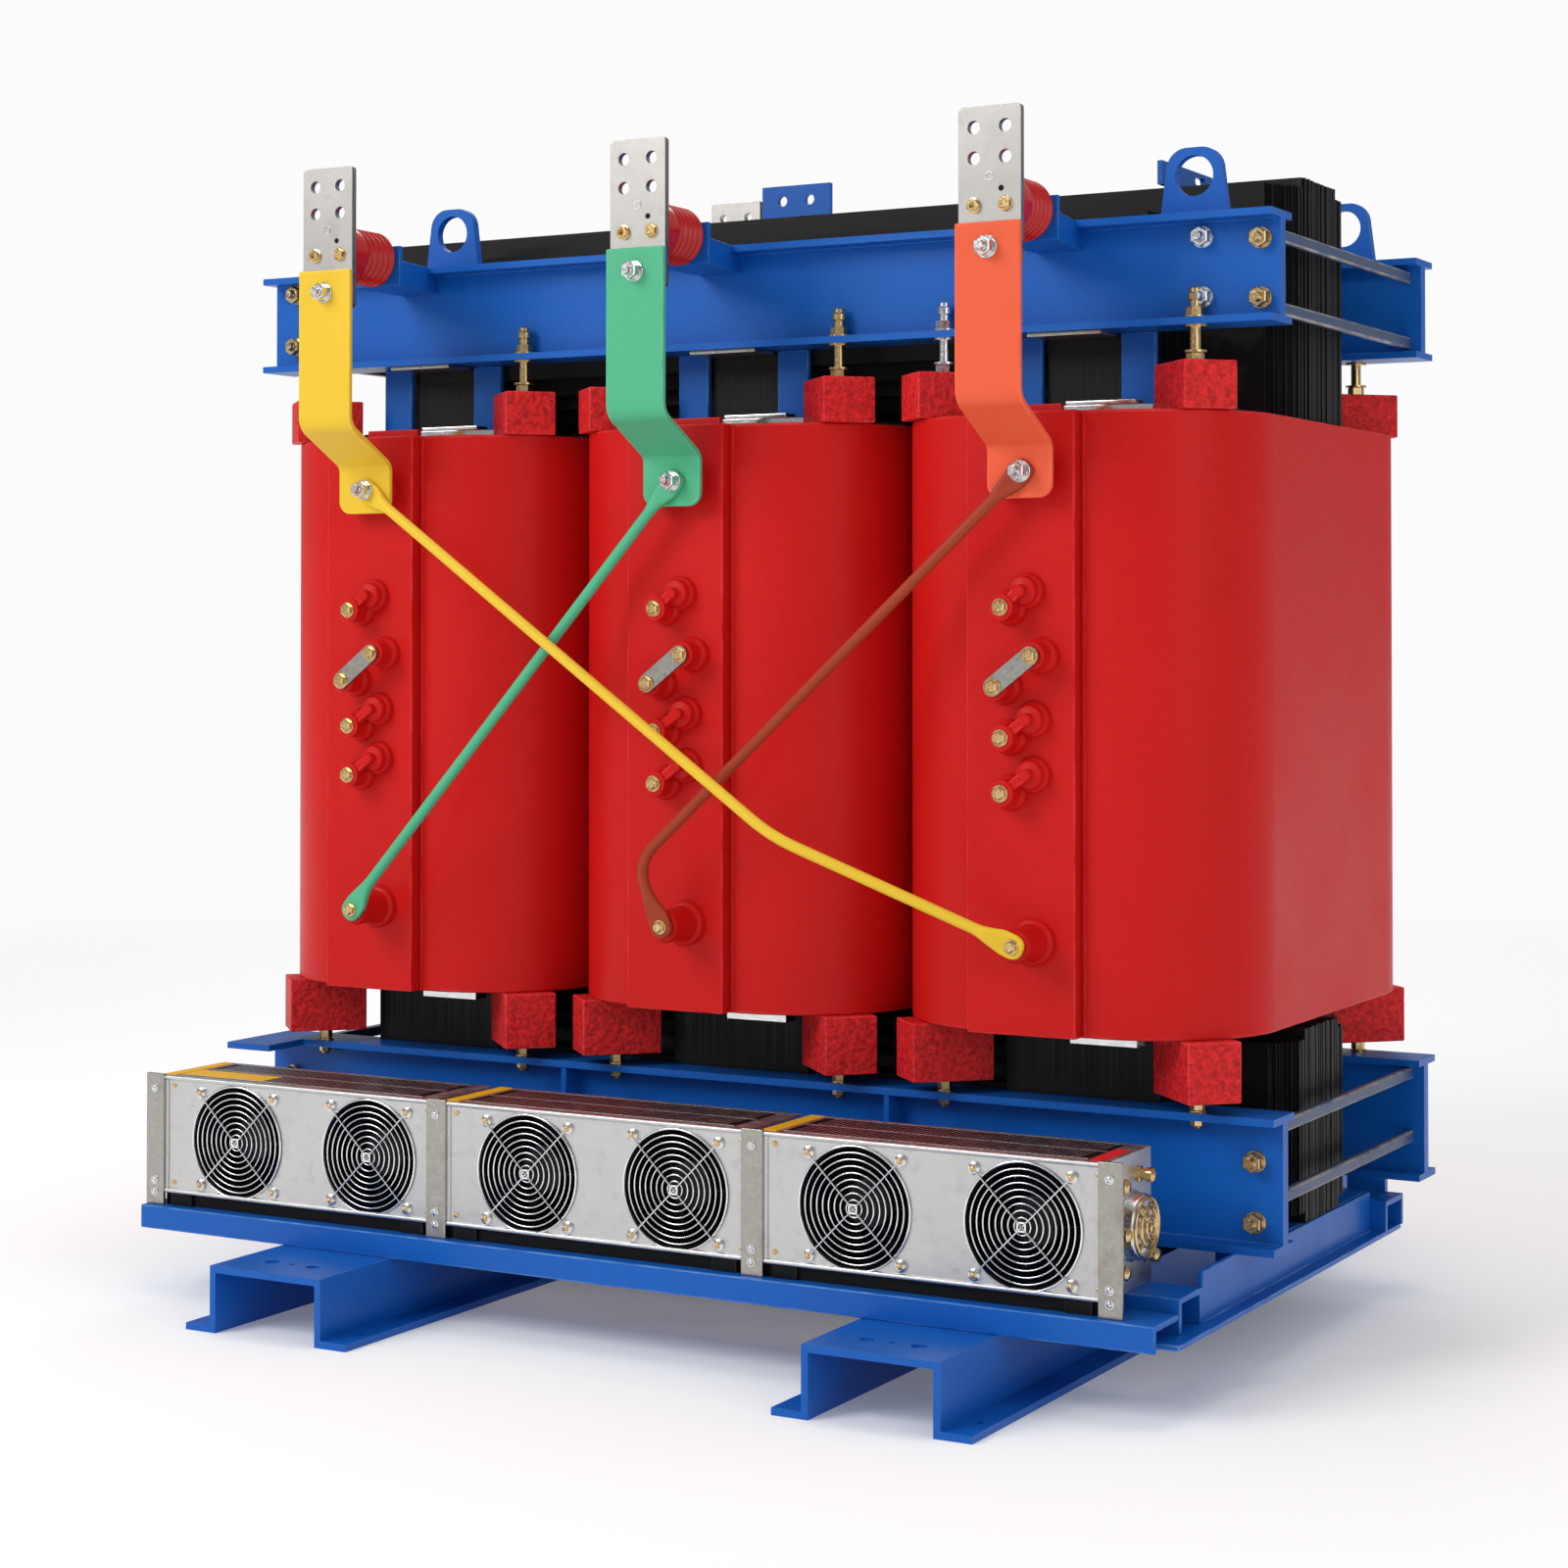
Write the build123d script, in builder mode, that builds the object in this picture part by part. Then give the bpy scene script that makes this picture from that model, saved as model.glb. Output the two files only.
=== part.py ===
from build123d import *
import os
from math import atan2, cos, degrees, radians, sin

os.makedirs("parts", exist_ok=True)

front_and_rear = {"front": -1, "rear": 1}
left_and_right = {"left": -1, "right": 1}

# Heights, stacked up from the floor
skid_height = 96
base_beam_height = 75
lower_clamp_height = 183
lower_stud_gap = 18
lower_block_height = 83
coil_height = 849
upper_block_height = 66
upper_stud_gap = 51
upper_clamp_height = 152

base_bottom = skid_height
lower_clamp_bottom = base_bottom + base_beam_height
lower_clamp_top = lower_clamp_bottom + lower_clamp_height
lower_block_bottom = lower_clamp_top + lower_stud_gap
coil_bottom = lower_block_bottom + lower_block_height
coil_top = coil_bottom + coil_height
upper_block_top = coil_top + upper_block_height
upper_clamp_bottom = upper_block_top + upper_stud_gap
upper_clamp_top = upper_clamp_bottom + upper_clamp_height

# Laminated core: packets from the middle outwards as half depth, half leg width,
# height lost at each yoke edge and length lost at each yoke end
core_packets = [
    (70, 150, 0, 0),
    (145, 143, 15, 6),
    (190, 132, 35, 150),
    (228, 112, 55, 170),
    (277, 58, 78, 190),
]
core_half_depth = core_packets[-1][0]
leg_half_width = core_packets[0][1]
yoke_beyond_phase = 250
upper_yoke_rise = 82
yoke_to_coil = 15
lower_yoke_drop = 8

upper_yoke_top = upper_clamp_top + upper_yoke_rise
upper_yoke_bottom = coil_top + yoke_to_coil
lower_yoke_top = coil_bottom - yoke_to_coil
lower_yoke_bottom = lower_clamp_bottom - lower_yoke_drop

# Coils: an inner foil coil round the leg and a cast outer coil, both rounded rectangles in plan
lv_side_clearance = 10
lv_end_clearance = 35
lv_corner_radius = 110
lv_wall = 32
lv_rise = 14
foil_end_left = 5
foil_end_right = 105
foil_end_drop = 21
duct_side = 18
duct_end = 28
hv_wall = 58
hv_corner_radius = 190

lv_inner_half_width = leg_half_width + lv_side_clearance
lv_inner_half_depth = core_half_depth + lv_end_clearance
lv_half_width = lv_inner_half_width + lv_wall
lv_half_depth = lv_inner_half_depth + lv_wall
hv_half_width = lv_half_width + duct_side + hv_wall
hv_half_depth = lv_half_depth + duct_end + hv_wall

# Phases, counted from the left, as close as the gap between the cast coils allows
coil_gap = 14
phase_pitch = 2 * hv_half_width + coil_gap
phases = {"left": -phase_pitch, "middle": 0, "right": phase_pitch}
yoke_half_length = phase_pitch + yoke_beyond_phase

# Raised tap field on the front of each cast coil, with its bosses
tap_pad_left = -102
tap_pad_right = 60
tap_pad_proud = 20
tap_x = -34
tap_base_radius = 25
tap_base_length = 9
tap_stud_radius = 17
tap_stud_length = 38
tap_blind_length = 26
# Rows: drop from the coil's top, shift of the bolted boss, then way across and up to the boss beside it
tap_row_layout = [(267, 0, 25, 22), (375, -9, 55, 42), (444, 0, 34, 25), (519, 0, 34, 25)]
linked_row = 1
tap_link_width = 26
tap_link_thickness = 5
terminal_x = -2
upper_terminal_drop = 84
lower_terminal_rise = 128
terminal_base_radius = 33
terminal_stud_radius = 24
upper_terminal_length = 22
lower_terminal_length = 62
tap_pad_face = hv_half_depth + tap_pad_proud
tap_rows = [
    ((tap_x + shift, coil_top - drop), (tap_x + shift + across, coil_top - drop + up))
    for drop, shift, across, up in tap_row_layout
]
upper_terminal_z = coil_top - upper_terminal_drop
lower_terminal_z = coil_bottom + lower_terminal_rise

# Clamping beams: two channels back to back, seen as one web with uneven flanges
clamp_beyond_yoke = 56
clamp_flange_width = 80
clamp_flange_thickness = 10
clamp_web_setback = 35
clamp_web_thickness = 20
clamp_stiffener_thickness = 8
clamp_stiffener_setback = 2
end_plate_length = 84
end_plate_proud = 83
clamp_half_length = yoke_half_length + clamp_beyond_yoke
clamp_inner = core_half_depth
clamp_outer = clamp_inner + clamp_flange_width
clamp_web_outer = clamp_outer - clamp_web_setback
clamp_web_inner = clamp_web_outer - clamp_web_thickness
clamp_stiffener_depth = clamp_web_setback - clamp_stiffener_setback

# Lifting lugs on the upper clamps
left_lug_from_phase = 40
right_lug_from_end = 125
lug_base_width = 98
lug_top_width = 74
lug_height = 94
lug_thickness = 14
lug_corner_radius = 30
lug_hole_radius = 28
lug_hole_rise = 55
lug_x = [left_lug_from_phase - phase_pitch, clamp_half_length - right_lug_from_end]

# Bars that tie the front and rear clamps together at each end
end_tie_width = 12
end_tie_height = 18
end_tie_inset = 22
upper_end_tie_rise = 24
upper_end_tie_drop = 28
lower_end_tie_rise = 65
lower_end_tie_drop = 22
end_tie_z = [
    lower_clamp_bottom + lower_end_tie_rise,
    lower_clamp_top - lower_end_tie_drop,
    upper_clamp_bottom + upper_end_tie_rise,
    upper_clamp_top - upper_end_tie_drop,
]

# Tie plates in front of and behind each leg
tie_plate_inner = 60
tie_plate_width = 52
tie_plate_thickness = 11
tie_plate_clearance = 1
foot_board_half_width = 115
foot_board_thickness = 6

# Support blocks at the coil corners and their studs
block_x = 190
block_y = 338
block_turn = 45
block_width = 78
upper_block_length = 104
lower_block_length = 120
stud_radius = 8
stud_hole_radius = 9
nut_radius = 14
nut_height = 13
lower_nut_radius = 11
lower_nut_height = 8
stud_above_flange = 42
stud_below_flange = 12

# Skids: hat sections lying front to rear
skid_x = 484
skid_top_width = 198
skid_foot_width = 44
skid_plate = 10
skid_half_length = 805
skid_hole_inset = 64
skid_hole_spacing = 74
skid_hole_radius = 11
skid_pilot_radius = 5
skid_foot_hole_radius = 7

# Base frame
base_plate = 8
end_beam_beyond_yoke = 23
end_beam_web_beyond_yoke = 2
end_beam_flange_width = 82
end_beam_front = 613
base_frame_height = 54
front_channel_rear = 476
front_channel_depth = 80
rear_channel_front = 207
rear_channel_depth = 83
rear_channel_beyond_yoke = 26
rear_post_depth = 13
rear_post_width = 60
channel_hole_radius = 8
channel_hole_inset = 14
end_beam_outer = yoke_half_length + end_beam_beyond_yoke
end_beam_web_outer = yoke_half_length + end_beam_web_beyond_yoke
rear_channel_half_length = yoke_half_length + rear_channel_beyond_yoke

# Fan tray, fan boxes and fans
tray_left = -clamp_half_length
tray_right = end_beam_web_outer
tray_front = 642
tray_depth = 82
tray_height = 35
fan_row_inset = 17.5
fan_box_gap = 14
fan_box_front = 624
fan_box_depth = 148
fan_box_height = 178
fan_box_foot_width = 40
fan_box_end_room = 132.5
fan_pair_offset = 16
fan_pair_gap = 80
fan_rise = 86
strap_width = 34
strap_thickness = 6
strap_rise = 2
end_cover_radius = 46
end_cover_length = 34
end_cover_edge_radius = 5
duct_radius = 83
duct_depth = 112
motor_radius = 34
motor_length = 26
shaft_radius = 5
shaft_length = 36
shaft_clearance = 0.1
bore_end_clearance = 0.5
hub_radius = 37
hub_length = 44
hub_gap = 6
blade_count = 7
blade_reach = 74
blade_chord = 44
blade_thickness = 3
blade_pitch = 38
guard_radius = 83
guard_ring_count = 8
guard_ring_step = 10
guard_wire = 2.4
guard_arm_reach = 96
guard_boss_radius = 6

tray_top = base_bottom + tray_height
fan_box_bottom = base_bottom + base_frame_height
fan_half_spacing = guard_radius + fan_pair_gap / 2
fan_box_half_length = fan_half_spacing + fan_box_end_room
fan_box_pitch = 2 * fan_box_half_length + fan_box_gap
fan_row_left = tray_left + fan_row_inset
fan_box_back = fan_box_front - fan_box_depth
fan_z = fan_box_bottom + fan_rise
fan_boxes = {
    name: fan_row_left + (number + 0.5) * fan_box_pitch
    for number, name in enumerate(phases)
}
fan_xs = [x + fan_pair_offset + side * fan_half_spacing for x in fan_boxes.values() for side in (-1, 1)]
duct_bottom = fan_box_front - duct_depth
motor_face = duct_bottom + motor_length
hub_back = motor_face + hub_gap

# High-voltage phase bars, terminal plates and their post insulators
bar_x = -8
bar_width = 96
bar_thickness = 9
bar_foot_drop = 36
bar_lower_bend = 40
bar_upper_bend = 95
bar_offset = 100
bar_bend_radius = 22
bar_drop = 26
terminal_plate_width = 92
terminal_plate_thickness = 10
terminal_plate_drop = 83
terminal_plate_rise = 129
terminal_hole_spacing_x = 46
terminal_hole_spacing_z = 41
terminal_hole_radius = 9
terminal_hole_top = 28
insulator_rise = 2
insulator_length = 108
insulator_core_radius = 33
insulator_rib_radius = 42
insulator_rib_count = 6
insulator_rib_thickness = 9
bracket_plate = 8
bracket_half_width = 46
bracket_drop = 40
bracket_rise = 20
bracket_taper = 24

bar_back = tap_pad_face + upper_terminal_length
bar_front = bar_back + bar_thickness
upper_bar_back = bar_back + bar_offset
insulator_front = upper_bar_back - terminal_plate_thickness
insulator_back = insulator_front - insulator_length
bar_top = upper_clamp_top - bar_drop
terminal_plate_bottom = upper_clamp_top - terminal_plate_drop
terminal_plate_top = upper_clamp_top + terminal_plate_rise
insulator_z = upper_clamp_top + insulator_rise
bracket_bottom = insulator_z - bracket_drop
bracket_top = insulator_z + bracket_rise

# Links between the phases: round rods with flattened ends
link_rod_radius = 8
link_lug_width = 34
link_lug_length = 62
link_lug_thickness = 8
link_rod_start = 30
link_rod_standoff = 0.5
link_bend_radius = 40
yellow_bend_x = 206
yellow_bend_rise = 139
yellow_bend_depth = 566
brown_bend_x = -41
brown_bend_rise = 89
brown_bend_depth = 521

# Low-voltage bars and the plates above the rear clamp
lv_bar_width = 100
lv_bar_thickness = 12
lv_bar_from_clamp = 35
lv_bar_rise = 17
lv_hole_spacing = 50
lv_hole_radius = 7
lv_hole_top = 35
lv_support_width = 60
lv_support_height = 44
neutral_x = -361
neutral_width = 97
neutral_rise = 172
neutral_hole_radius = 7
neutral_hole_spacing = 48.5
rear_plate_x = -243
rear_plate_width = 132
rear_plate_rise = 195
rear_plate_thickness = 10
rear_plate_hole_radius = 9
rear_plate_hole_spacing = 52.8
rear_hole_drop = 26
slotted_x = 588
slotted_half_length = 100
slotted_rise = 35
slotted_thickness = 8
slot_length = 40
slot_width = 13

lv_bar_face = clamp_outer + lv_bar_from_clamp
lv_bar_top = upper_clamp_top + lv_bar_rise
neutral_top = upper_clamp_top + neutral_rise
rear_plate_top = upper_clamp_top + rear_plate_rise
slotted_top = upper_yoke_top + slotted_rise


def save(piece, node):
    piece.part.label = node
    export_step(piece.part, f"parts/{node}.step")


def front_plane(depth):
    """The vertical plane that faces the front, at this depth in front of the core's centre."""
    return Plane.XZ.offset(depth)


def end_plane(x):
    """The vertical plane across the object, with its sketch's x along Y and y along Z."""
    return Plane(origin=(x, 0, 0), x_dir=(0, 1, 0), z_dir=(1, 0, 0))


# Skids
for name, side in left_and_right.items():
    with BuildPart() as skid:
        with BuildSketch(Plane.XZ.offset(-skid_half_length)) as hat:
            with Locations((side * skid_x, skid_height / 2)):
                Rectangle(skid_top_width, skid_height)
            with Locations((side * skid_x, skid_plate / 2)):
                Rectangle(skid_top_width + 2 * skid_foot_width, skid_plate)
            with Locations((side * skid_x, (skid_height - skid_plate) / 2)):
                Rectangle(skid_top_width - 2 * skid_plate, skid_height - skid_plate, mode=Mode.SUBTRACT)
        extrude(amount=2 * skid_half_length)
        with BuildSketch(Plane.XY.offset(skid_height)) as top_holes:
            for end in (-1, 1):
                hole_y = end * (skid_half_length - skid_hole_inset)
                with Locations((side * skid_x - skid_hole_spacing / 2, hole_y),
                               (side * skid_x + skid_hole_spacing / 2, hole_y)):
                    Circle(skid_hole_radius)
                with Locations((side * skid_x, hole_y)):
                    Circle(skid_pilot_radius)
        extrude(amount=-skid_plate, mode=Mode.SUBTRACT)
        foot_x = (skid_top_width + skid_foot_width) / 2
        with BuildSketch(Plane.XY.offset(skid_plate)) as foot_holes:
            for end in (-1, 1):
                with Locations((side * skid_x - foot_x, end * (skid_half_length - skid_hole_inset)),
                               (side * skid_x + foot_x, end * (skid_half_length - skid_hole_inset))):
                    Circle(skid_foot_hole_radius)
        extrude(amount=-skid_plate, mode=Mode.SUBTRACT)
    save(skid, f"skid_{name}")

# End beams: a flange under an upright web that steps down between the clamps
for name, side in left_and_right.items():
    rear_end = rear_channel_front + rear_channel_depth
    with BuildPart() as end_beam:
        with BuildSketch(Plane.XY.offset(base_bottom)) as flange:
            flange_x = side * (end_beam_outer - end_beam_flange_width / 2)
            with Locations((flange_x, (rear_end - end_beam_front) / 2)):
                Rectangle(end_beam_flange_width, rear_end + end_beam_front)
        extrude(amount=base_plate)
        with BuildSketch(end_plane(side * end_beam_web_outer)) as web:
            with BuildLine():
                Polyline(
                    (-front_channel_rear, base_bottom + base_plate),
                    (rear_channel_front, base_bottom + base_plate),
                    (rear_channel_front, lower_yoke_bottom),
                    (-clamp_inner, lower_yoke_bottom),
                    (-clamp_inner, lower_clamp_bottom),
                    (-front_channel_rear, lower_clamp_bottom),
                    close=True,
                )
            make_face()
        extrude(amount=-side * base_plate)
    save(end_beam, f"base_end_beam_{name}")

# Cross channels: turned-down channels over the skids, the rear one with posts for the rear lower clamp
channels = {
    "front": (-front_channel_rear - front_channel_depth / 2, front_channel_depth, end_beam_web_outer),
    "rear": (rear_channel_front + rear_channel_depth / 2, rear_channel_depth, rear_channel_half_length),
}
beam_inner = end_beam_outer - end_beam_flange_width
for name, (channel_y, channel_depth, half_length) in channels.items():
    with BuildPart() as channel:
        with BuildSketch(Plane.YZ.offset(-half_length)) as section:
            with Locations((channel_y, base_bottom + base_frame_height / 2)):
                Rectangle(channel_depth, base_frame_height)
            with Locations((channel_y, base_bottom + (base_frame_height - base_plate) / 2)):
                Rectangle(channel_depth - 2 * base_plate, base_frame_height - base_plate, mode=Mode.SUBTRACT)
        extrude(amount=2 * half_length)
        with BuildSketch(Plane.XY.offset(base_bottom)) as beam_notches:
            for side in (-1, 1):
                with Locations((side * (beam_inner + half_length) / 2, channel_y)):
                    Rectangle(half_length - beam_inner, channel_depth)
        extrude(amount=base_plate, mode=Mode.SUBTRACT)
        if name == "rear":
            with BuildSketch(Plane.XY.offset(base_bottom + base_frame_height)) as end_holes:
                hole_x = half_length - channel_hole_inset
                with Locations((-hole_x, channel_y), (hole_x, channel_y)):
                    Circle(channel_hole_radius)
            extrude(amount=-base_plate, mode=Mode.SUBTRACT)
            with BuildSketch(Plane.XY.offset(base_bottom + base_frame_height)) as post_feet:
                post_x = end_beam_web_outer - rear_post_width / 2
                post_y = clamp_inner + rear_post_depth / 2
                with Locations((-post_x, post_y), (post_x, post_y)):
                    Rectangle(rear_post_width, rear_post_depth)
            extrude(amount=base_beam_height - base_frame_height)
    save(channel, f"base_cross_channel_{name}")

# Bearers that carry the ends of the lower yoke
with BuildPart() as bearers:
    with BuildSketch(Plane.XY.offset(base_bottom + base_plate)) as bearer_plan:
        for side in (-1, 1):
            bearer_outer = end_beam_web_outer - base_plate
            with Locations((side * (bearer_outer + beam_inner) / 2, (rear_channel_front - clamp_inner) / 2)):
                Rectangle(bearer_outer - beam_inner, rear_channel_front + clamp_inner)
    extrude(amount=lower_yoke_bottom - base_bottom - base_plate)
save(bearers, "core_bearers")

# Fan tray: an angle that stands on the skids
with BuildPart() as tray:
    with BuildSketch(Plane.YZ.offset(tray_left)) as angle:
        with Locations((base_plate / 2 - tray_front, base_bottom + tray_height / 2)):
            Rectangle(base_plate, tray_height)
        with Locations((tray_depth / 2 - tray_front, tray_top - base_plate / 2)):
            Rectangle(tray_depth, base_plate)
    extrude(amount=tray_right - tray_left)
save(tray, "fan_tray")

# Fan boxes with an air duct for each fan, and the motor and shaft that carry it
for name, x in fan_boxes.items():
    with BuildPart() as fan_box:
        with BuildSketch(Plane.XY.offset(fan_box_bottom)) as box_plan:
            with Locations((x, fan_box_depth / 2 - fan_box_front)):
                Rectangle(2 * fan_box_half_length, fan_box_depth)
        extrude(amount=fan_box_height)
        fan_places = [(x + fan_pair_offset + side * fan_half_spacing, fan_z) for side in (-1, 1)]
        with BuildSketch(front_plane(fan_box_front)) as ducts:
            with Locations(*fan_places):
                Circle(duct_radius)
        extrude(amount=-duct_depth, mode=Mode.SUBTRACT)
        with BuildSketch(front_plane(duct_bottom)) as motors:
            with Locations(*fan_places):
                Circle(motor_radius)
        extrude(amount=motor_length)
        with BuildSketch(front_plane(motor_face)) as shafts:
            with Locations(*fan_places):
                Circle(shaft_radius)
        extrude(amount=shaft_length)
    save(fan_box, f"fan_box_{name}")

# Impellers
for number, x in enumerate(fan_xs, 1):
    with BuildPart() as impeller:
        with BuildSketch(front_plane(hub_back)) as hub:
            with Locations((x, fan_z)):
                Circle(hub_radius)
        extrude(amount=hub_length)
        hub_middle = Vector(x, -(hub_back + hub_length / 2), fan_z)
        for blade in range(blade_count):
            turn = radians(360 * blade / blade_count)
            outwards = (sin(turn), 0, cos(turn))
            with BuildSketch(Plane(origin=hub_middle, x_dir=(0, 1, 0), z_dir=outwards)) as blade_section:
                Rectangle(blade_chord, blade_thickness, rotation=blade_pitch)
            extrude(amount=blade_reach)
        with BuildSketch(front_plane(hub_back)) as bore:
            with Locations((x, fan_z)):
                Circle(shaft_radius + shaft_clearance)
        extrude(amount=shaft_length - hub_gap + bore_end_clearance, mode=Mode.SUBTRACT)
    save(impeller, f"fan_impeller_{number}")

# Wire guards: concentric rings on four arms that reach to the corner screws
with BuildPart() as guards:
    for x in fan_xs:
        with BuildSketch(front_plane(fan_box_front)) as guard:
            with Locations((x, fan_z)):
                for ring in range(guard_ring_count):
                    ring_radius = guard_radius - ring * guard_ring_step
                    Circle(ring_radius)
                    Circle(ring_radius - guard_wire, mode=Mode.SUBTRACT)
            for corner in (45, 135, 225, 315):
                along = guard_arm_reach / 2
                with Locations((x + along * cos(radians(corner)), fan_z + along * sin(radians(corner)))):
                    Rectangle(guard_arm_reach, guard_wire, rotation=corner)
                reach_x = x + guard_arm_reach * cos(radians(corner))
                with Locations((reach_x, fan_z + guard_arm_reach * sin(radians(corner)))):
                    Circle(guard_boss_radius)
        extrude(amount=guard_wire)
save(guards, "fan_guards")

# Upright straps between the boxes and at both ends, and the feet under the boxes
strap_xs = [fan_row_left + end * fan_box_pitch for end in range(len(fan_boxes) + 1)]
with BuildPart() as straps:
    with BuildSketch(front_plane(fan_box_front)) as strap_faces:
        strap_height = fan_box_bottom + fan_box_height + strap_rise - tray_top
        for x in strap_xs:
            with Locations((x, tray_top + strap_height / 2)):
                Rectangle(strap_width, strap_height)
    extrude(amount=strap_thickness)
save(straps, "fan_box_straps")

with BuildPart() as feet:
    with BuildSketch(Plane.XY.offset(tray_top)) as foot_plan:
        for x in fan_boxes.values():
            for side in (-1, 1):
                foot_x = x + side * (fan_box_half_length - fan_box_foot_width)
                with Locations((foot_x, (tray_depth - tray_front - fan_box_front) / 2)):
                    Rectangle(fan_box_foot_width, tray_depth - tray_front + fan_box_front)
    extrude(amount=fan_box_bottom - tray_top)
save(feet, "fan_box_feet")

# Round cover on the right end of the row
with BuildPart() as end_cover:
    cover_x = fan_boxes["right"] + fan_box_half_length
    with BuildSketch(end_plane(cover_x)) as cover_base:
        with Locations((fan_box_depth / 2 - fan_box_front, fan_z)):
            Circle(end_cover_radius)
    extrude(amount=end_cover_length)
    fillet(end_cover.faces().sort_by(Axis.X)[-1].edges(), radius=end_cover_edge_radius)
save(end_cover, "fan_box_end_cover")


def clamp_beam(side, bottom, height, stud_flange_bottom, stiffener_places, lug_places, wide_lengths):
    """One clamping beam with stud holes in the flange towards the coils, stiffeners, lifting lugs,
    and a length at the left end over which that flange is wider."""
    top = bottom + height
    lug_front = -side * (clamp_web_inner + clamp_web_outer) / 2 - lug_thickness / 2
    with BuildPart() as beam:
        with BuildSketch(Plane.YZ.offset(-clamp_half_length)):
            for flange_z in (bottom + clamp_flange_thickness / 2, top - clamp_flange_thickness / 2):
                with Locations((side * (clamp_inner + clamp_outer) / 2, flange_z)):
                    Rectangle(clamp_flange_width, clamp_flange_thickness)
            with Locations((side * (clamp_web_inner + clamp_web_outer) / 2, (bottom + top) / 2)):
                Rectangle(clamp_web_thickness, height)
        extrude(amount=2 * clamp_half_length)
        for stiffener_x in stiffener_places:
            with BuildSketch(Plane.XY.offset(bottom)):
                with Locations((stiffener_x, side * (clamp_web_outer + clamp_stiffener_depth / 2))):
                    Rectangle(clamp_stiffener_thickness, clamp_stiffener_depth)
            extrude(amount=height)
        with BuildSketch(Plane.XY.offset(stud_flange_bottom)):
            for x in phases.values():
                with Locations((x - block_x, side * block_y), (x + block_x, side * block_y)):
                    Circle(stud_hole_radius)
        extrude(amount=clamp_flange_thickness, mode=Mode.SUBTRACT)
        for length in wide_lengths:
            with BuildSketch(Plane.XY.offset(stud_flange_bottom)):
                with Locations((length / 2 - clamp_half_length, side * (clamp_outer + end_plate_proud / 2))):
                    Rectangle(length, end_plate_proud)
            extrude(amount=clamp_flange_thickness)
        for x in lug_places:
            with BuildSketch(front_plane(lug_front)):
                with BuildLine():
                    FilletPolyline(
                        (x - lug_base_width / 2, top),
                        (x - lug_top_width / 2, top + lug_height),
                        (x + lug_top_width / 2, top + lug_height),
                        (x + lug_base_width / 2, top),
                        radius=lug_corner_radius,
                    )
                    Line((x + lug_base_width / 2, top), (x - lug_base_width / 2, top))
                make_face()
                with Locations((x, top + lug_hole_rise)):
                    Circle(lug_hole_radius, mode=Mode.SUBTRACT)
            extrude(amount=lug_thickness)
    return beam


# Lower clamps
lower_flange_bottom = lower_clamp_top - clamp_flange_thickness
for name, side in front_and_rear.items():
    wide_lengths = [end_plate_length] if name == "front" else []
    stiffener_x = [-phase_pitch / 2, phase_pitch / 2]
    lower_clamp = clamp_beam(
        side, lower_clamp_bottom, lower_clamp_height, lower_flange_bottom, stiffener_x, [], wide_lengths
    )
    save(lower_clamp, f"lower_clamp_{name}")

# Upper clamps with their lifting lugs
for name, side in front_and_rear.items():
    upper_clamp = clamp_beam(
        side, upper_clamp_bottom, upper_clamp_height, upper_clamp_bottom, [], lug_x, []
    )
    save(upper_clamp, f"upper_clamp_{name}")

# End ties between the clamp webs
for name, side in left_and_right.items():
    with BuildPart() as end_ties:
        with BuildSketch(Plane.XZ.offset(-clamp_web_inner)) as tie_sections:
            for z in end_tie_z:
                with Locations((side * (clamp_half_length - end_tie_inset), z)):
                    Rectangle(end_tie_width, end_tie_height)
        extrude(amount=2 * clamp_web_inner)
    save(end_ties, f"end_ties_{name}")

# Yokes of the core
yokes = {"lower": (lower_yoke_bottom, lower_yoke_top), "upper": (upper_yoke_bottom, upper_yoke_top)}
for name, (yoke_bottom, yoke_top) in yokes.items():
    with BuildPart() as yoke:
        for half_depth, half_width, height_loss, length_loss in core_packets:
            with BuildSketch(Plane.XY.offset(yoke_bottom + height_loss)):
                Rectangle(2 * (yoke_half_length - length_loss), 2 * half_depth)
            extrude(amount=yoke_top - yoke_bottom - 2 * height_loss)
    save(yoke, f"core_yoke_{name}")

# Legs of the core
for name, x in phases.items():
    with BuildPart() as leg:
        for half_depth, half_width, height_loss, length_loss in core_packets:
            with BuildSketch(Plane((x, 0, lower_yoke_top - height_loss))):
                Rectangle(2 * half_width, 2 * half_depth)
            extrude(amount=upper_yoke_bottom - lower_yoke_top + 2 * height_loss)
        for yoke_bottom, yoke_top in yokes.values():
            for half_depth, half_width, height_loss, length_loss in core_packets:
                with BuildSketch(Plane((x, 0, yoke_bottom + height_loss))):
                    Rectangle(4 * half_width, 2 * half_depth)
                extrude(amount=yoke_top - yoke_bottom - 2 * height_loss, mode=Mode.SUBTRACT)
    save(leg, f"core_leg_{name}")

# Tie plates from the lower clamps to the upper clamps
for name, side in front_and_rear.items():
    with BuildPart() as tie_plates:
        with BuildSketch(Plane.XY.offset(lower_clamp_top)) as plate_plan:
            plate_y = side * (core_half_depth + tie_plate_clearance + tie_plate_thickness / 2)
            plate_x = tie_plate_inner + tie_plate_width / 2
            for x in phases.values():
                with Locations((x - plate_x, plate_y), (x + plate_x, plate_y)):
                    Rectangle(tie_plate_width, tie_plate_thickness)
        extrude(amount=upper_clamp_bottom - lower_clamp_top)
    save(tie_plates, f"leg_tie_plates_{name}")

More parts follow.
